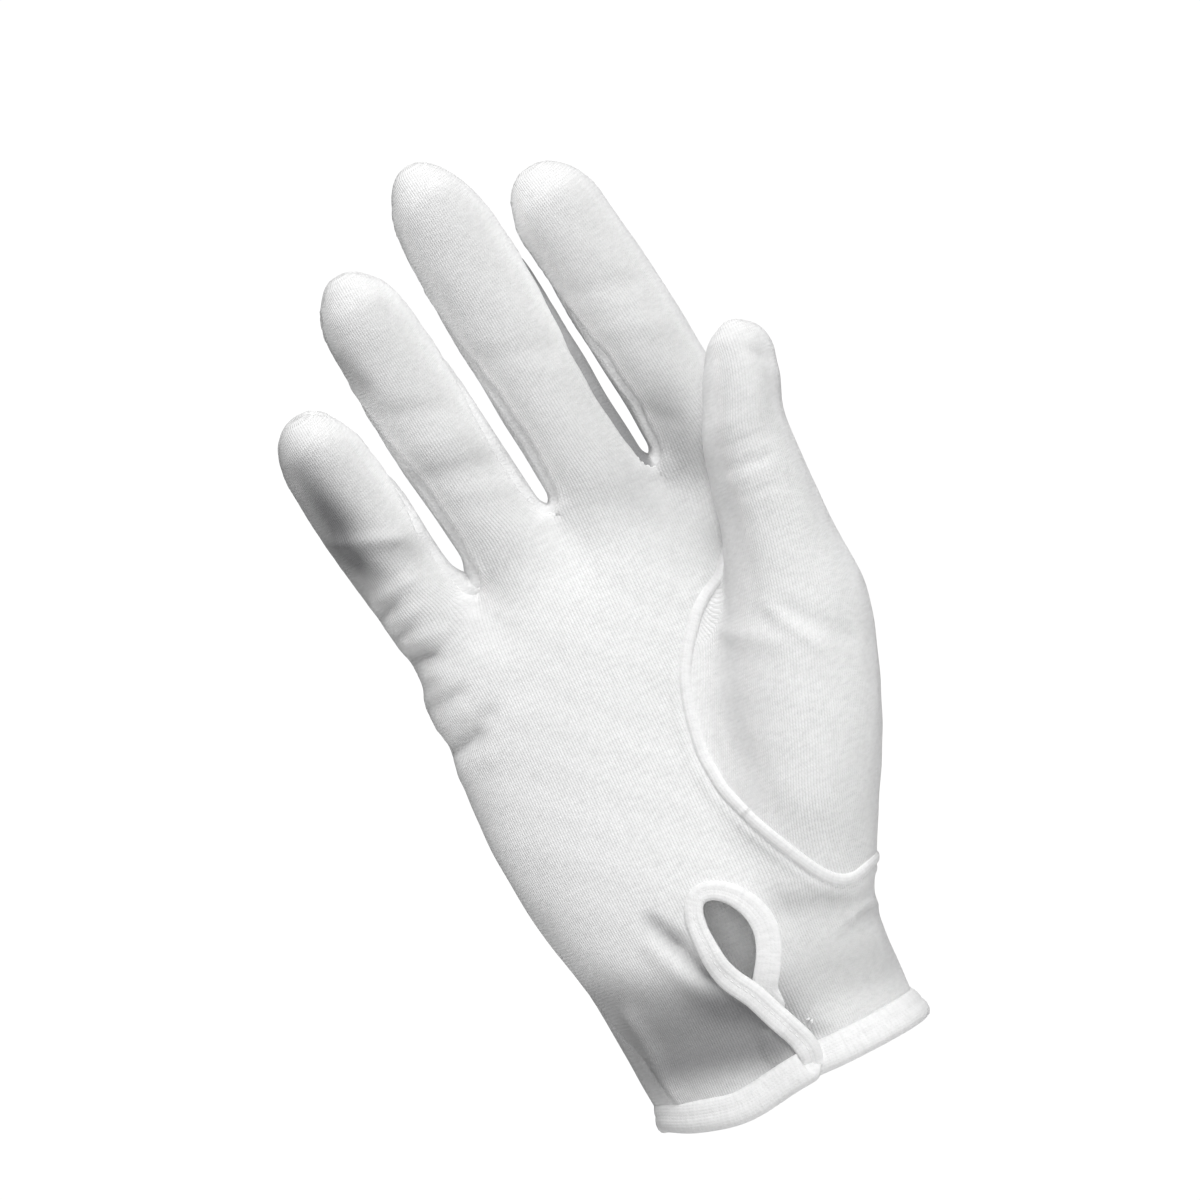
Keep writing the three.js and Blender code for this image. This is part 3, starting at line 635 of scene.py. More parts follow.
def face_panels():
    """The number of each face's panel, or of the inner flap, or OPEN where the glove is open."""
    owner = np.repeat(np.arange(len(skin_faces)), [len(face) for face in skin_faces])
    corner = np.concatenate([np.array(face) for face in skin_faces])
    size = np.bincount(owner)
    mean = {name: np.bincount(owner, values[corner]) / size for name, values in fields.items()}
    which = np.where(mean["side"] < 0, PALM_SIDE, BACK_SIDE)
    for number, name in enumerate(GUSSETS):
        which[mean[name] > 0] = FIRST_GUSSET + number
    which[mean["thumb"] > 0] = THUMB_PIECE
    which[(mean["slit"] > 0) & (which == PALM_SIDE)] = INNER_FLAP
    which[(mean["hole"] > 0) | (mean["hem"] > 0)] = OPEN
    return which


face_panel = face_panels()
edge_faces = {}
for number, face in enumerate(skin_faces):
    for edge in sides_of(face):
        edge_faces.setdefault(edge, []).append(number)
seams = {}
for edge, sides in edge_faces.items():
    kind = frozenset(int(face_panel[side]) for side in sides)
    if len(kind) == 2 and kind != {PALM_SIDE, INNER_FLAP}:
        seams.setdefault(kind, []).append(edge)


def seam_points(wanted):
    """The points on the seams between the wanted kinds of panel."""
    return sorted({i for kind, pairs in seams.items() if wanted(kind) for edge in pairs for i in edge})


free = np.ones(len(skin))
free[seam_points(lambda kind: True)] = 0
skin = relax(skin, skin_edges, 2, 0.5, free, point_normals(skin, skin_faces))
# Folds, dents and pulls of the cloth. Each row is a crease from one end to the other, seen from
# the palm side, with its half width and its height: negative goes in.
FOLD_COLUMNS = "x0 z0 x1 z1 wide high"
PALM_FOLDS = table(
    FOLD_COLUMNS,
    (-49.5, 182, -47.5, 169.5, 4.5, -0.9),
    (-42.5, 190, -50, 187, 2.4, 0.6),
    (-47.3, 164.1, -35, 160, 1.7, 1.2),
    (-47.5, 158, -43, 153, 3, -1.3),
    (-46, 148, -37, 149, 1.5, 0.8),
    (-45.5, 144.6, -42, 145.5, 1.2, -0.6),
    (-45, 141.3, -36, 142, 1.4, 0.5),
    (-44, 138.2, -40, 138.5, 1.2, -0.55),
    (-43, 135.3, -34, 134.5, 1.4, 0.5),
    (-30, 125, -42, 119, 2.6, 0.4),
    (-42, 107, -33, 111, 2.2, -0.9),
    (-34, 103, -22, 109, 3, 0.35),
    (43, 139, 50, 136, 2, -0.4),
    (44, 131, 51, 127, 1.8, -0.35),
    (-17, 49, -14.2, 43, 1.7, -1.1),
    (-14.2, 43, -11, 34, 2, -2.1),
    (-19.5, 43, -15.5, 33, 2.6, 1),
    (-34, 34, -10, 26, 6.5, -1.3),
    (-27, 20, -10, 14.5, 7.5, -2.2),
    (-33, 30, -31, 10, 2, 0.9),
    (12.5, 43, 14, 30, 2.6, -0.6),
    (17, 38, 29, 34, 3, -0.7),
    (8, 26, 28, 22, 3.5, 0.3),
    (6.5, 9, 9, 8, 1.5, -0.6),
    (12, 15, 30, 12.5, 3, -0.5),
    (-22, 187, -12, 184, 2.4, -0.5),
    (-22, 178, -10, 176, 2.6, 0.4),
    (-19, 170, -8, 168, 2.4, -0.5),
    (-16, 163, -5, 160, 2.2, 0.35),
    (4, 190, 18, 186, 3, -0.4),
    (31, 195, 43, 192, 2.6, -0.4),
    (32, 184, 46, 180, 2.6, 0.3),
    (30, 166, 38, 158, 2.2, -0.5),
)
EDGE_FOLDS = table(
    FOLD_COLUMNS,
    (-46, 132, -39, 130.5, 1.4, -1.1),
    (-46, 126, -40, 126, 2.2, 0.8),
    (-46, 119, -37, 119.5, 1.5, -0.9),
    (-46, 113.5, -38, 114.5, 2, 0.6),
    (-46, 107.5, -38, 108, 1.7, -1),
    (-46, 100.5, -38, 102, 2.4, 0.5),
)
THUMB_FOLDS = table(
    FOLD_COLUMNS,
    (40, 106.5, 46.3, 94, 1.8, 0.6),
    (42.5, 141, 37.5, 108, 3.4, -0.6),
    (30, 114, 27, 111.5, 3, -0.8),
    (25, 108, 37.5, 99, 2.4, 0.45),
    (44, 104, 54, 93, 2.4, -0.6),
    (45, 133.5, 55, 132, 1, -0.25),
    (44, 137.5, 54, 137, 0.9, 0.22),
    (44.5, 140.5, 54, 139.5, 1, -0.28),
    (46, 146, 56, 144.5, 1.2, -0.25),
    (47, 151, 57, 150, 1.1, 0.22),
    (62.3, 163, 63.3, 162, 1.6, -1.1),
    (57, 168.5, 63.5, 167, 2.2, 0.6),
    (18, 84, 21, 60, 4, -0.5),
)
THUMB_WAIST = table(FOLD_COLUMNS, (68, 158, 65, 120, 7, -1.6))
FOLD_ENDS = 1.6  # how softly a fold runs out, as a multiple of its half width

# Painted shade: the cloth's colour is darkened towards grey where shadows and hollows fall, as under the heel
# and the thumb, on the little finger and between the fingers; the height is how much
PAINTED_SHADE_AMOUNTS = {"most": 0.86, "pads": 0.16, "gussets": 0.15, "middle_finger": 0.7}
PAINTED_SHADE_SPOTS = table(
    FOLD_COLUMNS,
    (-50.5, 183, -48, 173, 6.5, 0.36),
    (-47.5, 172.5, -46, 169, 6, 0.36),
    (-48.5, 161.5, -46, 153.5, 4.2, 0.52),
    (-45, 159, -33, 156.5, 3.8, 0.22),
    (-46, 144.6, -43, 145, 1.6, 0.25),
    (-45, 138.2, -42, 138, 1.4, 0.2),
    (-44.5, 131.5, -40, 130.5, 1.8, 0.3),
    (-42.5, 118.6, -39, 119, 1.8, 0.15),
    (-42, 107.5, -37, 108, 2, 0.25),
    (-38, 37, -12, 27, 6, 0.4),
    (-32, 25, -5, 19, 7, 0.56),
    (-29, 15, -4, 9.5, 6, 0.64),
    (-14, 28, -7, 22, 4, 0.12),
    (-17, 49, -10.5, 33, 2, 0.45),
    (14, 40, 27, 34, 4.5, 0.25),
    (14, 24, 31, 18, 10, 0.27),
    (26, 140, 33, 128, 9, 0.2),
    (39, 159, 40.5, 148, 6, 0.27),
    (33, 163, 35, 150, 7, 0.12),
    (-21, 171, -8, 168.5, 3, 0.15),
    (-28.5, 204, -26, 198, 2.5, 0.35),
)


def crease_height(points, rows):
    height = np.zeros(len(points))
    for row in rows:
        a = np.array([row["x0"], row["z0"]])
        way = np.array([row["x1"], row["z1"]]) - a
        length = np.linalg.norm(way)
        flat = points[:, [0, 2]] - a
        along = flat @ way / length
        aside = (flat[:, 0] * way[1] - flat[:, 1] * way[0]) / length
        past = np.maximum(np.maximum(-along, along - length), 0)
        height += row["high"] * bell(aside, row["wide"]) * bell(past, FOLD_ENDS * row["wide"])
    return height


class Waves:
    """A few broad sine waves, which make the cloth slightly uneven, the same way each run."""

    def __init__(self, seed, sizes):
        random = np.random.default_rng(seed)
        ways = random.normal(size=(len(sizes), 3))
        self.ways = unit(ways) * (2 * math.pi / np.array(sizes))[:, None]
        self.phases = random.uniform(0, 2 * math.pi, len(sizes))

    def __call__(self, points):
        return np.sin(points @ self.ways.T + self.phases).mean(1)


def of_finger(key):
    """A size of the finger that each point of the skin belongs to."""
    return np.array([row[key] for row in FINGERS])[limbs.finger]


UNEVEN = {"seed": 7, "sizes": [31, 23, 19, 17, 13, 11, 9, 7], "high": 0.4}
normals = point_normals(skin, skin_faces)
to_front = -normals[:, 1]
facing = smoothstep(to_front, -0.35, 0.3)
on_thumb = smoothstep(limbs.hand - limbs.thumb, -2, 2)
lift = smoothstep(to_front, 0.05, 0.6) * (1 - on_thumb) * crease_height(skin, PALM_FOLDS)
lift += facing * (1 - on_thumb) * crease_height(skin, EDGE_FOLDS)
lift += facing * on_thumb * crease_height(skin, THUMB_FOLDS)
lift += smoothstep(normals[:, 0], 0, 0.6) * on_thumb * crease_height(skin, THUMB_WAIST)
lift += UNEVEN["high"] * Waves(UNEVEN["seed"], UNEVEN["sizes"])(skin)
# Painted shade: grey spots where shadows and hollows fall on the palm side, and darker fingertip pads that
# face away from the light
painted_shade = smoothstep(to_front, -0.25, 0.15) * (1 - on_thumb) * crease_height(skin, PAINTED_SHADE_SPOTS)
pads = smoothstep(to_front, 0.6, 0.95) * (1 - smoothstep(limbs.distance - of_finger("length"), -11, -6))
painted_shade = np.clip(painted_shade + PAINTED_SHADE_AMOUNTS["pads"] * limbs.on_finger * pads, 0, PAINTED_SHADE_AMOUNTS["most"])

# Narrow valleys along the seams, with the turned edges of the cloth as faint ridges beside them

VALLEYS = {"side": 0.45, "side_wide": 0.9, "gusset": 0.75, "gusset_wide": 0.8}
GUSSET_RIDGES = {"high": 0.3, "at": 1.9, "wide": 0.9}
THUMB_RIDGES = {"high": 0.45, "at": 3.0, "wide": 1.2}


def seam_distance(wanted, far=6.0):
    """How far each point of the skin is from the wanted seams, at most far."""
    chosen = seam_points(wanted)
    tree = KDTree(len(chosen))
    for i in chosen:
        tree.insert(skin[i], i)
    tree.balance()
    return np.array([min(tree.find(point)[2], far) for point in skin])


def round_thumb(kind):
    return THUMB_PIECE in kind and OPEN not in kind


side_gap = seam_distance(lambda kind: kind == {PALM_SIDE, BACK_SIDE})
gusset_gap = seam_distance(lambda kind: kind & set(range(FIRST_GUSSET, THUMB_PIECE)) and OPEN not in kind)
thumb_gap = seam_distance(round_thumb)
lift -= VALLEYS["side"] * bell(side_gap, VALLEYS["side_wide"])
lift -= VALLEYS["gusset"] * bell(gusset_gap, VALLEYS["gusset_wide"])
lift += GUSSET_RIDGES["high"] * bell(gusset_gap - GUSSET_RIDGES["at"], GUSSET_RIDGES["wide"])

# The outer flap stands a little proud, keeps clear of the snap, and the inner one dips under it

SNAP_SPOT = {"x": 0.4, "z": 10.5, "clear": 3.5, "eased": 7.5, "lowest": -0.2, "highest": 0.6}
SNAP_MARK = {"x": -1.2, "z": 10.2, "radius": 4.8, "rim": 0.5, "wide": 0.9}
FLAPS = {"proud": 0.5, "proud_wide": 7.0, "dip": 1.7, "dip_wide": 4.5}
in_front = skin[:, 1] < 0


def away_from(spot):
    return np.hypot(skin[:, 0] - spot["x"], skin[:, 2] - spot["z"])


near_snap = in_front * (1 - smoothstep(away_from(SNAP_SPOT), SNAP_SPOT["clear"], SNAP_SPOT["eased"]))
held = np.clip(lift, SNAP_SPOT["lowest"], SNAP_SPOT["highest"])
lift = lift * (1 - near_snap) + held * near_snap
right_of_edge = skin[:, 0] - flap_x(skin[:, 2])
rim = SNAP_MARK["rim"] * bell(away_from(SNAP_MARK) - SNAP_MARK["radius"], SNAP_MARK["wide"])
lift += rim * (right_of_edge < 0) * in_front
fade = in_front * (1 - smoothstep(skin[:, 2], KEYHOLE["bottom"] - 3, KEYHOLE["bottom"] + 6))
inner_lift = lift - FLAPS["dip"] * bell(np.clip(right_of_edge, 0, None), FLAPS["dip_wide"]) * fade
outer_lift = lift + FLAPS["proud"] * bell(right_of_edge, FLAPS["proud_wide"]) * fade
lift = np.where(right_of_edge > 0.01, inner_lift, outer_lift)

# The seam round the thumb piece lies between two soft ridges on the palm
thumb_ridge = THUMB_RIDGES["high"] * bell(thumb_gap - THUMB_RIDGES["at"], THUMB_RIDGES["wide"])
lift += thumb_ridge * (fields["thumb"] < 0) * (normals[:, 1] < 0)

# Cloth coordinates: across and up the knit, in millimetres


def unrolled(across, deep, half_deep, middle):
    """Places across the front or back of a limb, with its sides unrolled."""
    return across + np.tanh(across / middle) * np.clip(half_deep - np.abs(deep), 0, None)


def cloth_coordinates(points, limbs):
    at = np.clip(points[:, 2] / BODY_LENGTH, 0, 1)
    half = np.where(points[:, 1] < 0, body_front(at), body_back(at))
    palm_u = unrolled(points[:, 0], points[:, 1], half, 12)
    past = np.clip((limbs.distance - of_finger("shaft")) / of_finger("tip"), 0, 0.9)
    high = of_finger("depth") / 2 * np.sqrt(1 - past ** 2)
    finger_u = of_finger("root") * PALM["width"] + unrolled(limbs.across, limbs.deep, high, 4)
    round_tip = of_finger("tip") * (np.arcsin(past) - past)
    up_finger = BODY_LENGTH - of_finger("drop") + limbs.distance + round_tip
    share = smoothstep(limbs.distance, 3, 14)
    return palm_u * (1 - share) + finger_u * share, points[:, 2] * (1 - share) + up_finger * share


def thumb_coordinates(points):
    up = np.clip((points[:, 2] - THUMB["bottom"]) / THUMB["reach"], 0, 1)
    u = unrolled(points[:, 0] - thumb_x(up), points[:, 1] - thumb_y(up), thumb_deep(up), 6)
    return u, points[:, 2]


coordinates = {number: cloth_coordinates(skin, limbs) for number in (PALM_SIDE, BACK_SIDE)}
coordinates[THUMB_PIECE] = thumb_coordinates(skin)
inner_skin = skin + normals * inner_lift[:, None]
skin = skin + normals * lift[:, None]

# Materials


def linear(hex_colour):
    """An sRGB hex colour as linear red, green, blue and alpha."""
    parts = [int(hex_colour[i:i + 2], 16) / 255 for i in (1, 3, 5)]
    return [c / 12.92 if c <= 0.04045 else ((c + 0.055) / 1.055) ** 2.4 for c in parts] + [1.0]


def add(tree, kind, settings=(), links=()):
    """Adds a node: settings are its properties or sockets by name or number, and links are
    (socket, source), where a node as the source stands for its first output."""
    node = tree.nodes.new("ShaderNode" + kind)
    for name, value in dict(settings).items():
        if isinstance(name, str) and hasattr(node, name):
            setattr(node, name, value)
        else:
            node.inputs[name].default_value = value
    for name, source in dict(links).items():
        tree.links.new(source.outputs[0] if hasattr(source, "outputs") else source, node.inputs[name])
    return node


def new_material(name, sockets):
    """A material whose shader has these sockets set, its node tree and its shader."""
    material = bpy.data.materials.new(name)
    material.use_nodes = True
    shader = material.node_tree.nodes["Principled BSDF"]
    for socket, value in sockets.items():
        shader.inputs[socket].default_value = value
    return material, material.node_tree, shader


WALE = 0.78  # spacing of the knit's ribs; real interlock has 0.6, drawn coarser so that it shows
COURSE = 0.9  # spacing of its rows
YARN_RELIEF = 0.16
SLUB_RELIEF = 0.12
FUZZ_RELIEF = 0.08
COTTON_WHITE = "#F6F6F6"
COTTON_SHADE = "#ECECEC"
# Grey that the cloth's colour is darkened towards where shade is painted
COTTON_PAINTED_SHADE = "#5E5E60"


def cotton(name, relief=YARN_RELIEF, mottle=1.0):
    """Bleached cotton interlock: matt, faintly fuzzy, fine ribs along the glove, small slubs."""
    material, tree, shader = new_material(name, {
        "Roughness": 0.92, "IOR": 1.47, "Sheen Weight": 0.25, "Sheen Roughness": 0.5,
        "Specular IOR Level": 0.25})
    place = add(tree, "UVMap", {"uv_map": "cloth"})
    split = add(tree, "SeparateXYZ", {}, {0: place})
    turn = add(tree, "Math", {"operation": "MULTIPLY", 1: math.pi / WALE}, {0: split})
    wave = add(tree, "Math", {"operation": "SINE"}, {0: turn})
    rib = add(tree, "Math", {"operation": "ABSOLUTE"}, {0: wave})
    slant = add(tree, "Math", {"operation": "MULTIPLY_ADD", 1: -0.5 * COURSE}, {0: rib, 2: split.outputs[1]})
    turn = add(tree, "Math", {"operation": "MULTIPLY", 1: 2 * math.pi / COURSE}, {0: slant})
    row = add(tree, "Math", {"operation": "SINE"}, {0: turn})
    rows = add(tree, "Math", {"operation": "MULTIPLY", 1: 0.17}, {0: row})
    loops = add(tree, "Math", {"operation": "MULTIPLY_ADD", 1: 0.65}, {0: rib, 2: rows})

    stretched = add(tree, "Mapping", {"Scale": (0.35, 0.9, 1.0)}, {"Vector": place})
    slub = add(tree, "TexNoise", {"Scale": 1.0, "Detail": 4.0, "Roughness": 0.62}, {"Vector": stretched})
    fuzz = add(tree, "TexNoise", {"Scale": 2.6, "Detail": 3.0, "Roughness": 0.7}, {"Vector": place})
    height = add(tree, "Math", {"operation": "MULTIPLY", 1: relief}, {0: loops})
    for noise, share in ((slub, SLUB_RELIEF), (fuzz, FUZZ_RELIEF)):
        settings = {"operation": "MULTIPLY_ADD", 1: share * mottle}
        height = add(tree, "Math", settings, {0: noise, 2: height})
    bump = add(tree, "Bump", {"Strength": 1.0, "Distance": MM}, {"Height": height})
    tree.links.new(bump.outputs[0], shader.inputs["Normal"])

    ramp = add(tree, "ValToRGB", {}, {0: slub})
    stops = ((0.3, COTTON_SHADE), (0.6, COTTON_WHITE))
    for element, (position, colour) in zip(ramp.color_ramp.elements, stops):
        element.position = position
        element.color = linear(colour)
    # A per-point attribute darkens the base colour towards grey: painted shade
    painted_shade_factor = add(tree, "Attribute", {"attribute_name": "painted_shade"})
    settings = {"data_type": "RGBA", 7: linear(COTTON_PAINTED_SHADE)}
    mixed = add(tree, "Mix", settings, {0: painted_shade_factor.outputs["Fac"], 6: ramp})
    tree.links.new(mixed.outputs[2], shader.inputs["Base Color"])
    return material


glove_knit = cotton("bleached_cotton_interlock")
turned_knit = cotton("turned_cotton_edge", relief=0.05, mottle=1.2)
thread_cotton = cotton("cotton_thread", relief=0.05, mottle=0.4)

# Nickel plate on a pressed steel snap: fine random scratches break up its shine
nickel, tree, shader = new_material("nickel_plate", {"Base Color": linear("#C9CACC"), "Metallic": 1.0})
scratch = add(tree, "TexNoise", {"Scale": 900.0, "Detail": 2.0},
              {"Vector": add(tree, "TexCoord").outputs["Object"]})
spread = add(tree, "MapRange", {"To Min": 0.26, "To Max": 0.44}, {"Value": scratch})
tree.links.new(spread.outputs[0], shader.inputs["Roughness"])

# Pieces from panels

CLOTH = 1.1


def dress(piece, material, slot, *nodes):
    piece.data.materials.clear()
    piece.data.materials.append(material)
    piece.data.polygons.foreach_set("use_smooth", [True] * len(piece.data.polygons))
    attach(piece, "root")
    if nodes:
        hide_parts(*nodes)
    return piece


def write_coordinates(mesh, u, v):
    layer = mesh.uv_layers.new(name="cloth")
    corners = np.zeros(len(mesh.loops), int)
    mesh.loops.foreach_get("vertex_index", corners)
    layer.data.foreach_set("uv", np.stack([u[corners], v[corners]], 1).ravel())


def thicken(piece, thickness, angle=50):
    """Gives a sheet its thickness on the inside, with crisp edges, and applies it."""
    solid = piece.modifiers.new("thickness", "SOLIDIFY")
    solid.thickness = thickness * MM
    solid.offset = -1
    mesh = applied(piece)
    piece.modifiers.clear()
    old = piece.data
    piece.data = mesh
    bpy.data.meshes.remove(old)
    mesh.set_sharp_from_angle(angle=math.radians(angle))
    return piece


def panel(name, number):
    """One panel of cloth. The palm takes in the inner flap, whose points by the slit are its own."""
    groups = [(number, skin)] + [(INNER_FLAP, inner_skin)] * (number == PALM_SIDE)
    points, faces, sources = [], [], []
    for which, surface in groups:
        chosen = np.flatnonzero(face_panel == which)
        used = sorted({i for f in chosen for i in skin_faces[f]})
        place = {old: len(sources) + new for new, old in enumerate(used)}
        faces += [tuple(place[i] for i in skin_faces[f]) for f in chosen]
        points.append(surface[used])
        sources += used
    piece = new_mesh(name, np.concatenate(points), faces)
    u, v = coordinates.get(number, (skin[:, 1], skin[:, 2]))
    write_coordinates(piece.data, u[sources], v[sources])
    # Painted shade: the grey spots and pads, a dark painted shadow on the middle finger's side of its strip,
    # and a lighter painted shade on the other strips between the fingers
    shade = painted_shade[sources]
    if number == THUMB_PIECE - 1:
        shade += PAINTED_SHADE_AMOUNTS["middle_finger"] * smoothstep(normals[sources, 0], 0.1, 0.6)
    elif number not in coordinates:
        shade += PAINTED_SHADE_AMOUNTS["gussets"]
    piece.data.attributes.new("painted_shade", "FLOAT", "POINT").data.foreach_set("value", shade)
    return thicken(piece, CLOTH)


for number, name in enumerate(PANELS):
    dress(panel(name + "_cloth", number), glove_knit, "glove_cotton", name)

# Trim laid on the cloth: bands, beads and stitches along paths

trim_base = BVHTree.FromPolygons([Vector(v) for v in skin], skin_faces)
normals = point_normals(skin, skin_faces)


def on_front(x, z):
    """The place and the outward direction of the cloth at x and z on the palm side."""
    hit, normal, _, _ = trim_base.ray_cast(Vector((x, -70, z)), Vector((0, 1, 0)))
    return np.array(hit), np.array(normal)


def lengths_along(path):
    return np.concatenate([[0], np.cumsum(np.linalg.norm(np.diff(path, axis=0), axis=1))])


def resample(path, spacing, closed=False):
    path = np.asarray(path, float)
    if closed:
        path = np.concatenate([path, path[:1]])
    length = lengths_along(path)
    places = np.linspace(0, length[-1], max(4, int(length[-1] / spacing)), endpoint=not closed)
    return interpolated(places, length, path)


def ease(path, rounds, closed=False):
    for _ in range(rounds):
        if closed:
            path = (np.roll(path, 1, 0) + 2 * path + np.roll(path, -1, 0)) / 4
        else:
            path[1:-1] = (path[:-2] + 2 * path[1:-1] + path[2:]) / 4
    return path


def frames_along(path, ups, closed=False):
    """Directions along and beside a path, and above it, at right angles to each other."""
    ways = unit(np.roll(path, -1, 0) - np.roll(path, 1, 0) if closed else np.gradient(path, axis=0))
    ups = unit(ups - ways * (ups * ways).sum(1, keepdims=True))
    return ways, np.cross(ways, ups), ups


def sweep(name, path, ups, profile, closed=False, wide=None, high=None):
    """A band along a path. Profile points are (beside, above), scaled by wide and high."""
    _, sides, ups = frames_along(path, ups, closed)
    count, around = len(path), len(profile)
    wide = np.ones(count) if wide is None else wide
    high = np.ones(count) if high is None else high
    vertices = (path[:, None] + (wide[:, None] * profile[:, 0])[..., None] * sides[:, None]
                + (high[:, None] * profile[:, 1])[..., None] * ups[:, None]).reshape(-1, 3)
    faces = [(a, d, c, b) for a, b, c, d in grid_faces(count, around, closed=closed)]
    if not closed:
        faces.append(tuple(range(around)))
        faces.append(tuple(range((count - 1) * around, count * around))[::-1])
    piece = new_mesh(name, vertices, faces)
    u, v = np.tile(lengths_along(profile), count), np.repeat(lengths_along(path), around)
    write_coordinates(piece.data, u, v)
    build = bmesh.new()
    build.from_mesh(piece.data)
    bmesh.ops.recalc_face_normals(build, faces=build.faces)
    build.to_mesh(piece.data)
    build.free()
    return piece


STITCH = {"rings": 6, "sides": 6}


def stitches(name, path, ups, length, gap, thread):
    """A row of short threads, each one dipping into the cloth at both of its ends."""
    spots = resample(path, (length + gap) / 4)
    ways, sides, lift = frames_along(spots, interpolated(lengths_along(spots), lengths_along(path), ups))
    vertices, faces = [], []
    for i in range(2, len(spots) - 2, 4):
        start = len(vertices)
        for step in np.linspace(-1, 1, STITCH["rings"]):
            arch = math.sqrt(max(1 - step * step, 0.02))
            middle = spots[i] + ways[i] * step * length / 2 + lift[i] * thread * (arch - 0.6)
            radius = thread * arch ** 0.7
            vertices += [middle + radius * (math.cos(turn) * sides[i] + math.sin(turn) * lift[i])
                         for turn in circle(STITCH["sides"])]
        sheet = grid_faces(STITCH["rings"], STITCH["sides"])
        faces += [tuple(start + corner for corner in face) for face in sheet]
        faces.append(tuple(range(start, start + STITCH["sides"]))[::-1])
        faces.append(tuple(range(len(vertices) - STITCH["sides"], len(vertices))))
    return dress(new_mesh(name, vertices, faces), thread_cotton, "seam_cotton")


def seam_chain(wanted):
    """The longest run of seam points between two kinds of panel, in order."""
    links = {}
    for kind, pairs in seams.items():
        if wanted(kind):
            for a, b in pairs:
                links.setdefault(a, []).append(b)
                links.setdefault(b, []).append(a)
    best, seen = [], set()
    for start in sorted(links):
        if start in seen:
            continue
        halves = []
        seen.add(start)
        for first in links[start][:2]:
            chain, here = [], first
            while here is not None and here not in seen:
                seen.add(here)
                chain.append(here)
                here = next((n for n in links[here] if n not in seen), None)
            halves.append(chain)
        chain = (halves[1][::-1] if len(halves) > 1 else []) + [start] + halves[0]
        if len(chain) > len(best):
            best = chain
    return best


# The inner flap goes on under the outer one, down to the hem

UNDERLAP = {"reach": 9.5, "low": 2.0, "sunk": 2.9}


def underlap():
    rows = np.linspace(UNDERLAP["low"], KEYHOLE["bottom"] - 0.5, 22)
    columns = np.linspace(1.5, -UNDERLAP["reach"], 12)
    points = []
    for z in rows:
        for step in columns:
            place, out = on_front(float(flap_x(z)) + step, z)
            points.append(place - out * UNDERLAP["sunk"])
    piece = new_mesh("inner_flap_cloth", points, grid_faces(len(rows), len(columns), ring=False))
    write_coordinates(piece.data, np.tile(columns, len(rows)), np.repeat(rows, len(columns)))
    piece.data.attributes.new("painted_shade", "FLOAT", "POINT")
    return thicken(piece, CLOTH)


dress(underlap(), glove_knit, "glove_cotton")

# Rounded welt that covers the seam round the thumb piece

WELT = {"half_wide": 1.5, "half_high": 1.0, "sunk": 0.1}


def oval(half_wide, half_high, points=16, roundness=2.4):
    across, above = rounded(circle(points), roundness)
    return np.stack([across * half_wide, above * half_high], 1)


welt_chain = seam_chain(round_thumb)
welt_path = ease(resample(skin[welt_chain], 0.9, closed=True), 8, closed=True)
path_shares = np.linspace(0, 1, len(welt_path), endpoint=False)
chain_shares = np.linspace(0, 1, len(welt_chain), endpoint=False)
welt_ups = ease(interpolated(path_shares, chain_shares, normals[welt_chain]), 10, closed=True)
welt = sweep("thumb_welt_cloth", welt_path - welt_ups * WELT["sunk"], welt_ups,
             oval(WELT["half_wide"], WELT["half_high"]), closed=True)
dress(welt, turned_knit, "seam_cotton", "thumb_welt")

# Rolled edge of the keyhole and of the outer flap: two ridges with a stitched groove between

BINDING = {"half_wide": 2.35, "high": 1.1, "groove": 0.35, "groove_wide": 0.5, "under": 13.0}
# Where each change along it begins and ends, and how far it is stitched, as shares of its length
BINDING_SPANS = {"start": (0, 0.05), "low": (0.3, 0.46), "soft": (0.56, 0.74), "behind": (0.62, 0.8),
                 "end": (0.88, 1.0)}
BINDING_STITCHED = 0.5
# How far it lies above the cloth, and how far it goes down behind the flap and at both its ends
BINDING_LIFT = {"above": 0.55, "behind": 0.6, "ends": 1.2}
# Its right side is turned outwards, wider and flatter, and its lower part on the flap is wider
BINDING_SOFT = {"out": 0.35, "wide": 0.35, "flat": 0.3, "low_wide": 0.28}


def banded():
    """A flattened roll whose top has a groove along its middle."""
    profile = oval(BINDING["half_wide"], BINDING["high"], 28, 2.6)
    groove = BINDING["groove"] * bell(profile[:, 0], BINDING["groove_wide"])
    profile[:, 1] -= groove * (profile[:, 1] > 0)
    return profile


def binding_route():
    """From the hem up the outer flap's edge, round the keyhole and down behind the flap."""
    heights = np.linspace(2.0, KEYHOLE["bottom"] - 2.0, 40)
    flap = np.stack([flap_x(heights) - BINDING["half_wide"], heights], 1)
    ring = keyhole_outline(BINDING["half_wide"] + 0.1)
    low = np.linspace(KEYHOLE["bottom"] - 3.0, KEYHOLE["bottom"] - BINDING["under"], 10)
    under = np.stack([flap_x(low) + 0.6, low], 1)
    return ease(resample(np.concatenate([flap, ring[4:-1], under]), 0.8), 8)


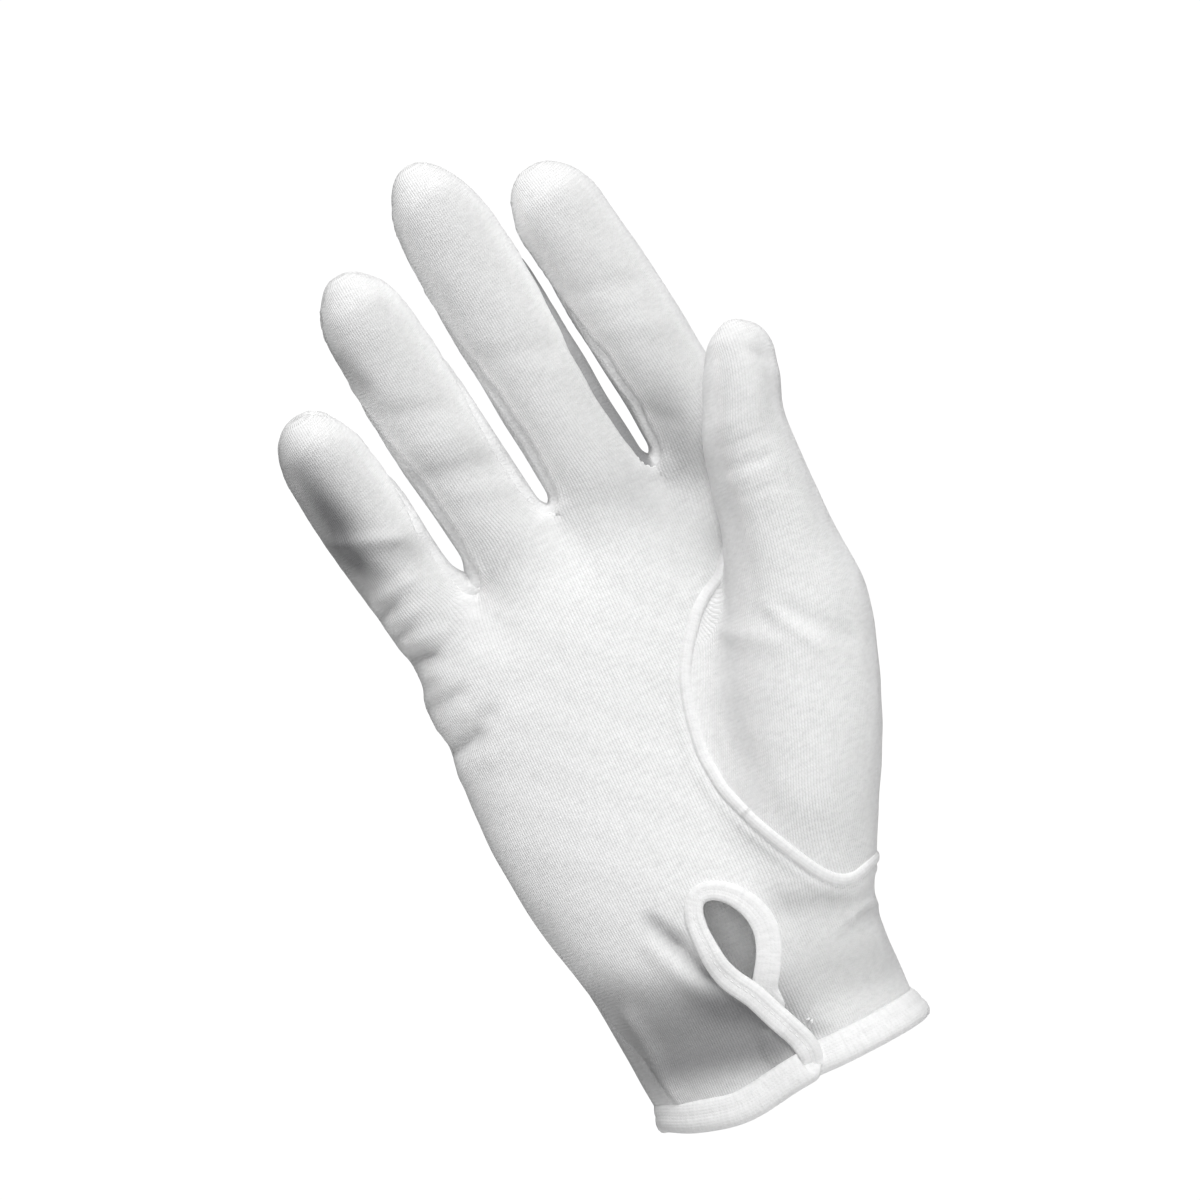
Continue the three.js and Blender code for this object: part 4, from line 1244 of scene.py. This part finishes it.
route = binding_route()
hits = [on_front(x, z) for x, z in route]
binding_ups = ease(np.array([up for _, up in hits]), 12)
binding_path = ease(np.array([place for place, _ in hits]), 10)
going = np.linspace(0, 1, len(route))
spans = {name: smoothstep(going, *span) for name, span in BINDING_SPANS.items()}
ends = spans["end"] + 1 - spans["start"]
softened, lower = spans["soft"], 1 - spans["low"]
binding_lift = BINDING_LIFT["above"] - BINDING_LIFT["behind"] * spans["behind"] - BINDING_LIFT["ends"] * ends
binding_path += binding_ups * binding_lift[:, None]
outward = binding_path - np.array([np.mean(keyhole[:, 0]), 0, np.mean(keyhole[:, 1])])
outward = unit(outward * (1, 0, 1))
binding_path += outward * (BINDING_SOFT["out"] * BINDING["half_wide"] * softened)[:, None]
binding_path[:, 0] += BINDING_SOFT["low_wide"] * BINDING["half_wide"] * lower
wide = 1 + BINDING_SOFT["wide"] * softened + BINDING_SOFT["low_wide"] * lower
high = 1 - BINDING_SOFT["flat"] * softened
binding = sweep("slit_binding_cloth", binding_path, binding_ups, banded(), wide=wide, high=high)
dress(binding, turned_knit, "seam_cotton", "slit_binding")
groove_path = binding_path + binding_ups * (BINDING["high"] - BINDING["groove"] - 0.05)
shown = going < BINDING_STITCHED
stitches("keyhole_stitches", groove_path[shown], binding_ups[shown], length=1.4, gap=0.6, thread=0.18)

# Turned hem: a rolled lower edge, a stitched groove and a flat band above it, lapped at the slit

HEM = {"groove_at": 3.9, "sag": 2.8, "lap": 9.0, "proud": 1.3, "tucked": 1.9, "rise": 1.4, "tail": 3.5}
HEM_OVAL = {"half_wide": 35, "half_deep": 20}
HEM_PROFILE = table(
    "up out",
    (-0.2, -0.1), (-0.55, 0.7), (-0.1, 1.5), (0.9, 1.95), (2.2, 1.95), (3.3, 1.6), (4.0, 1.2),
    (4.7, 1.15), (5.6, 0.85), (6.6, 0.35), (7.4, -0.2), (6.6, -1.1), (4.0, -1.3), (1.2, -1.35), (0.0, -0.9),
)


def hem_route():
    """Points round the wrist from the outer flap's end, by the back, to the end under the flap."""
    turns = np.linspace(-math.pi / 2, -math.pi / 2 - 2 * math.pi, 720)
    ring = body_ring(0.02, turns)
    ring[:, 2] = 0
    edge = float(flap_x(HEM["groove_at"] / 2))
    length = lengths_along(ring)
    total = length[-1]
    places = np.linspace(ring[0, 0] - edge, total + ring[0, 0] - edge + HEM["lap"], 340)
    path = interpolated(np.mod(places, total), length, ring)
    return path, places - places[0], places[-1] - places


hem_path, from_start, to_end = hem_route()
hem_ups = unit(hem_path / (HEM_OVAL["half_wide"] ** 2, HEM_OVAL["half_deep"] ** 2, 1) * (1, 1, 0))
hem_end = np.sqrt(np.clip(1 - (1 - np.clip(from_start / 3.0, 0.05, 1)) ** 2, 0, 1))
hem_lift = 0.1 + HEM["proud"] * (1 - smoothstep(from_start, 2, 14))
hem_lift -= HEM["tucked"] * (1 - smoothstep(to_end, HEM["lap"] - 3, HEM["lap"] + 7))
hem_path += hem_ups * hem_lift[:, None]
hem_path[:, 2] += HEM["rise"] * bell(from_start - 45, 7) - HEM["sag"] * bell(from_start - 21, 13)
hem_path[:, 2] += HEM["tail"] * (1 - hem_end)
profile = np.array([(row["up"], row["out"]) for row in HEM_PROFILE])
hem = sweep("wrist_hem_cloth", hem_path, hem_ups, profile, wide=hem_end, high=hem_end)
dress(hem, turned_knit, "seam_cotton", "wrist_hem")
hem_stitch_path = hem_path + hem_ups * 0.82 + (0, 0, HEM["groove_at"])
visible = (from_start > 3) & (to_end > HEM["lap"])
stitches("hem_stitches", hem_stitch_path[visible], hem_ups[visible], length=1.5, gap=0.6, thread=0.2)

# Tiny stitches round the crotches of the fingers, and the tack that ends the keyhole's seam

for number, name in enumerate(GUSSETS):
    chain = seam_chain(lambda kind: kind == {PALM_SIDE, FIRST_GUSSET + number})
    kept = [i for i in chain if limbs.distance[i] < 6]
    if len(kept) > 8:
        path = ease(resample(skin[kept], 0.6), 3)
        nearest = [kept[int(k)] for k in np.linspace(0, len(kept) - 1, len(path))]
        stitches(name + "_crotch_stitches", path, ease(normals[nearest], 3), length=1.0, gap=0.5, thread=0.18)

TACK = {"x": 7.0, "z": 12.4, "radius": 0.55, "lift": 0.15}
tack_place, tack_up = on_front(TACK["x"], TACK["z"])
tack_turns = np.linspace(0, 2 * math.pi, 13)
tack_side = np.cross(tack_up, [0, 0, 1.0])
tack_ring = np.outer(np.cos(tack_turns), tack_side) + np.outer(np.sin(tack_turns), [0, 0, 1.0])
tack_path = tack_place + tack_up * TACK["lift"] + TACK["radius"] * tack_ring
tack_ups = np.tile(tack_up, (len(tack_path), 1))
stitches("flap_tack", tack_path, tack_ups, length=1.1, gap=0.1, thread=0.3)

# Snap between the flaps

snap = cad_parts["wrist_snap"]
snap.data.materials.clear()
snap.data.materials.append(nickel)

# Floor, lights and camera

IMAGE_HEIGHT = 125.4
IMAGE_ACROSS = 4.1
DISTANCE = 1000.0
FRAME_WIDTH = 294.0
ROLL = math.radians(25)
SENSOR = 36.0
image_right = Vector((math.cos(ROLL), 0, -math.sin(ROLL)))
image_up = Vector((math.sin(ROLL), 0, math.cos(ROLL)))
to_camera = Vector((0, -1, 0))
image_centre = Vector((IMAGE_ACROSS, 0, IMAGE_HEIGHT))

FLOOR = {"height": -350, "half": 1000}
floor = new_mesh("floor", [(x * FLOOR["half"], y * FLOOR["half"], FLOOR["height"])
                           for x, y in ((-1, -1), (1, -1), (1, 1), (-1, 1))], [(0, 1, 2, 3)])
studio_floor, _, _ = new_material("studio_floor", {"Base Color": linear("#F4F4F4"), "Roughness": 0.9})
floor.data.materials.append(studio_floor)

# Soft square lights, placed by the photo's own directions from the middle of the glove
LIGHTS = table(
    "name right up front size power",
    ("key", -100, 990, 620, 450, 11.0),
    ("left_side", -1000, 0, 560, 600, 1.0),
    ("right_side", 1000, 60, 560, 500, 1.9),
    ("front_fill", 0, 0, 1300, 300, 3.7),
    ("back_fill", 0, 250, -1300, 500, 6.5),
)
for row in LIGHTS:
    light = bpy.data.lights.new(row["name"], "AREA")
    light.shape = "SQUARE"
    light.size = row["size"] * MM
    light.energy = row["power"]
    lamp = bpy.data.objects.new(row["name"], light)
    place = image_centre + image_right * row["right"] + image_up * row["up"] + to_camera * row["front"]
    lamp.location = place * MM
    lamp.rotation_euler = (image_centre - place).to_track_quat("-Z", "Y").to_euler()
    bpy.context.scene.collection.objects.link(lamp)

# The backdrop is white in the picture and gives the glove only a little light
BACKDROP = {"light": 0.15, "seen": 1.05}
world = bpy.data.worlds.new("studio")
bpy.context.scene.world = world
world.use_nodes = True
sky = world.node_tree
background = sky.nodes["Background"]
background.inputs["Color"].default_value = (1, 1, 1, 1)
level = add(sky, "MapRange", {"To Min": BACKDROP["light"], "To Max": BACKDROP["seen"]},
            {"Value": add(sky, "LightPath").outputs["Is Camera Ray"]})
sky.links.new(level.outputs[0], background.inputs["Strength"])

bpy.context.scene.view_settings.view_transform = "Standard"
bpy.context.scene.view_settings.look = "None"

camera_data = bpy.data.cameras.new("camera")
camera_data.sensor_width = SENSOR
camera_data.lens = SENSOR * DISTANCE / FRAME_WIDTH
camera_data.clip_end = 20
camera = bpy.data.objects.new("camera", camera_data)
camera_place = Matrix.Translation((image_centre + to_camera * DISTANCE) * MM)
camera.matrix_world = camera_place @ Matrix((image_right, image_up, to_camera)).transposed().to_4x4()
bpy.context.scene.collection.objects.link(camera)
bpy.context.scene.camera = camera


def corners(bounds):
    return [[float(value) for value in corner] for corner in bounds]
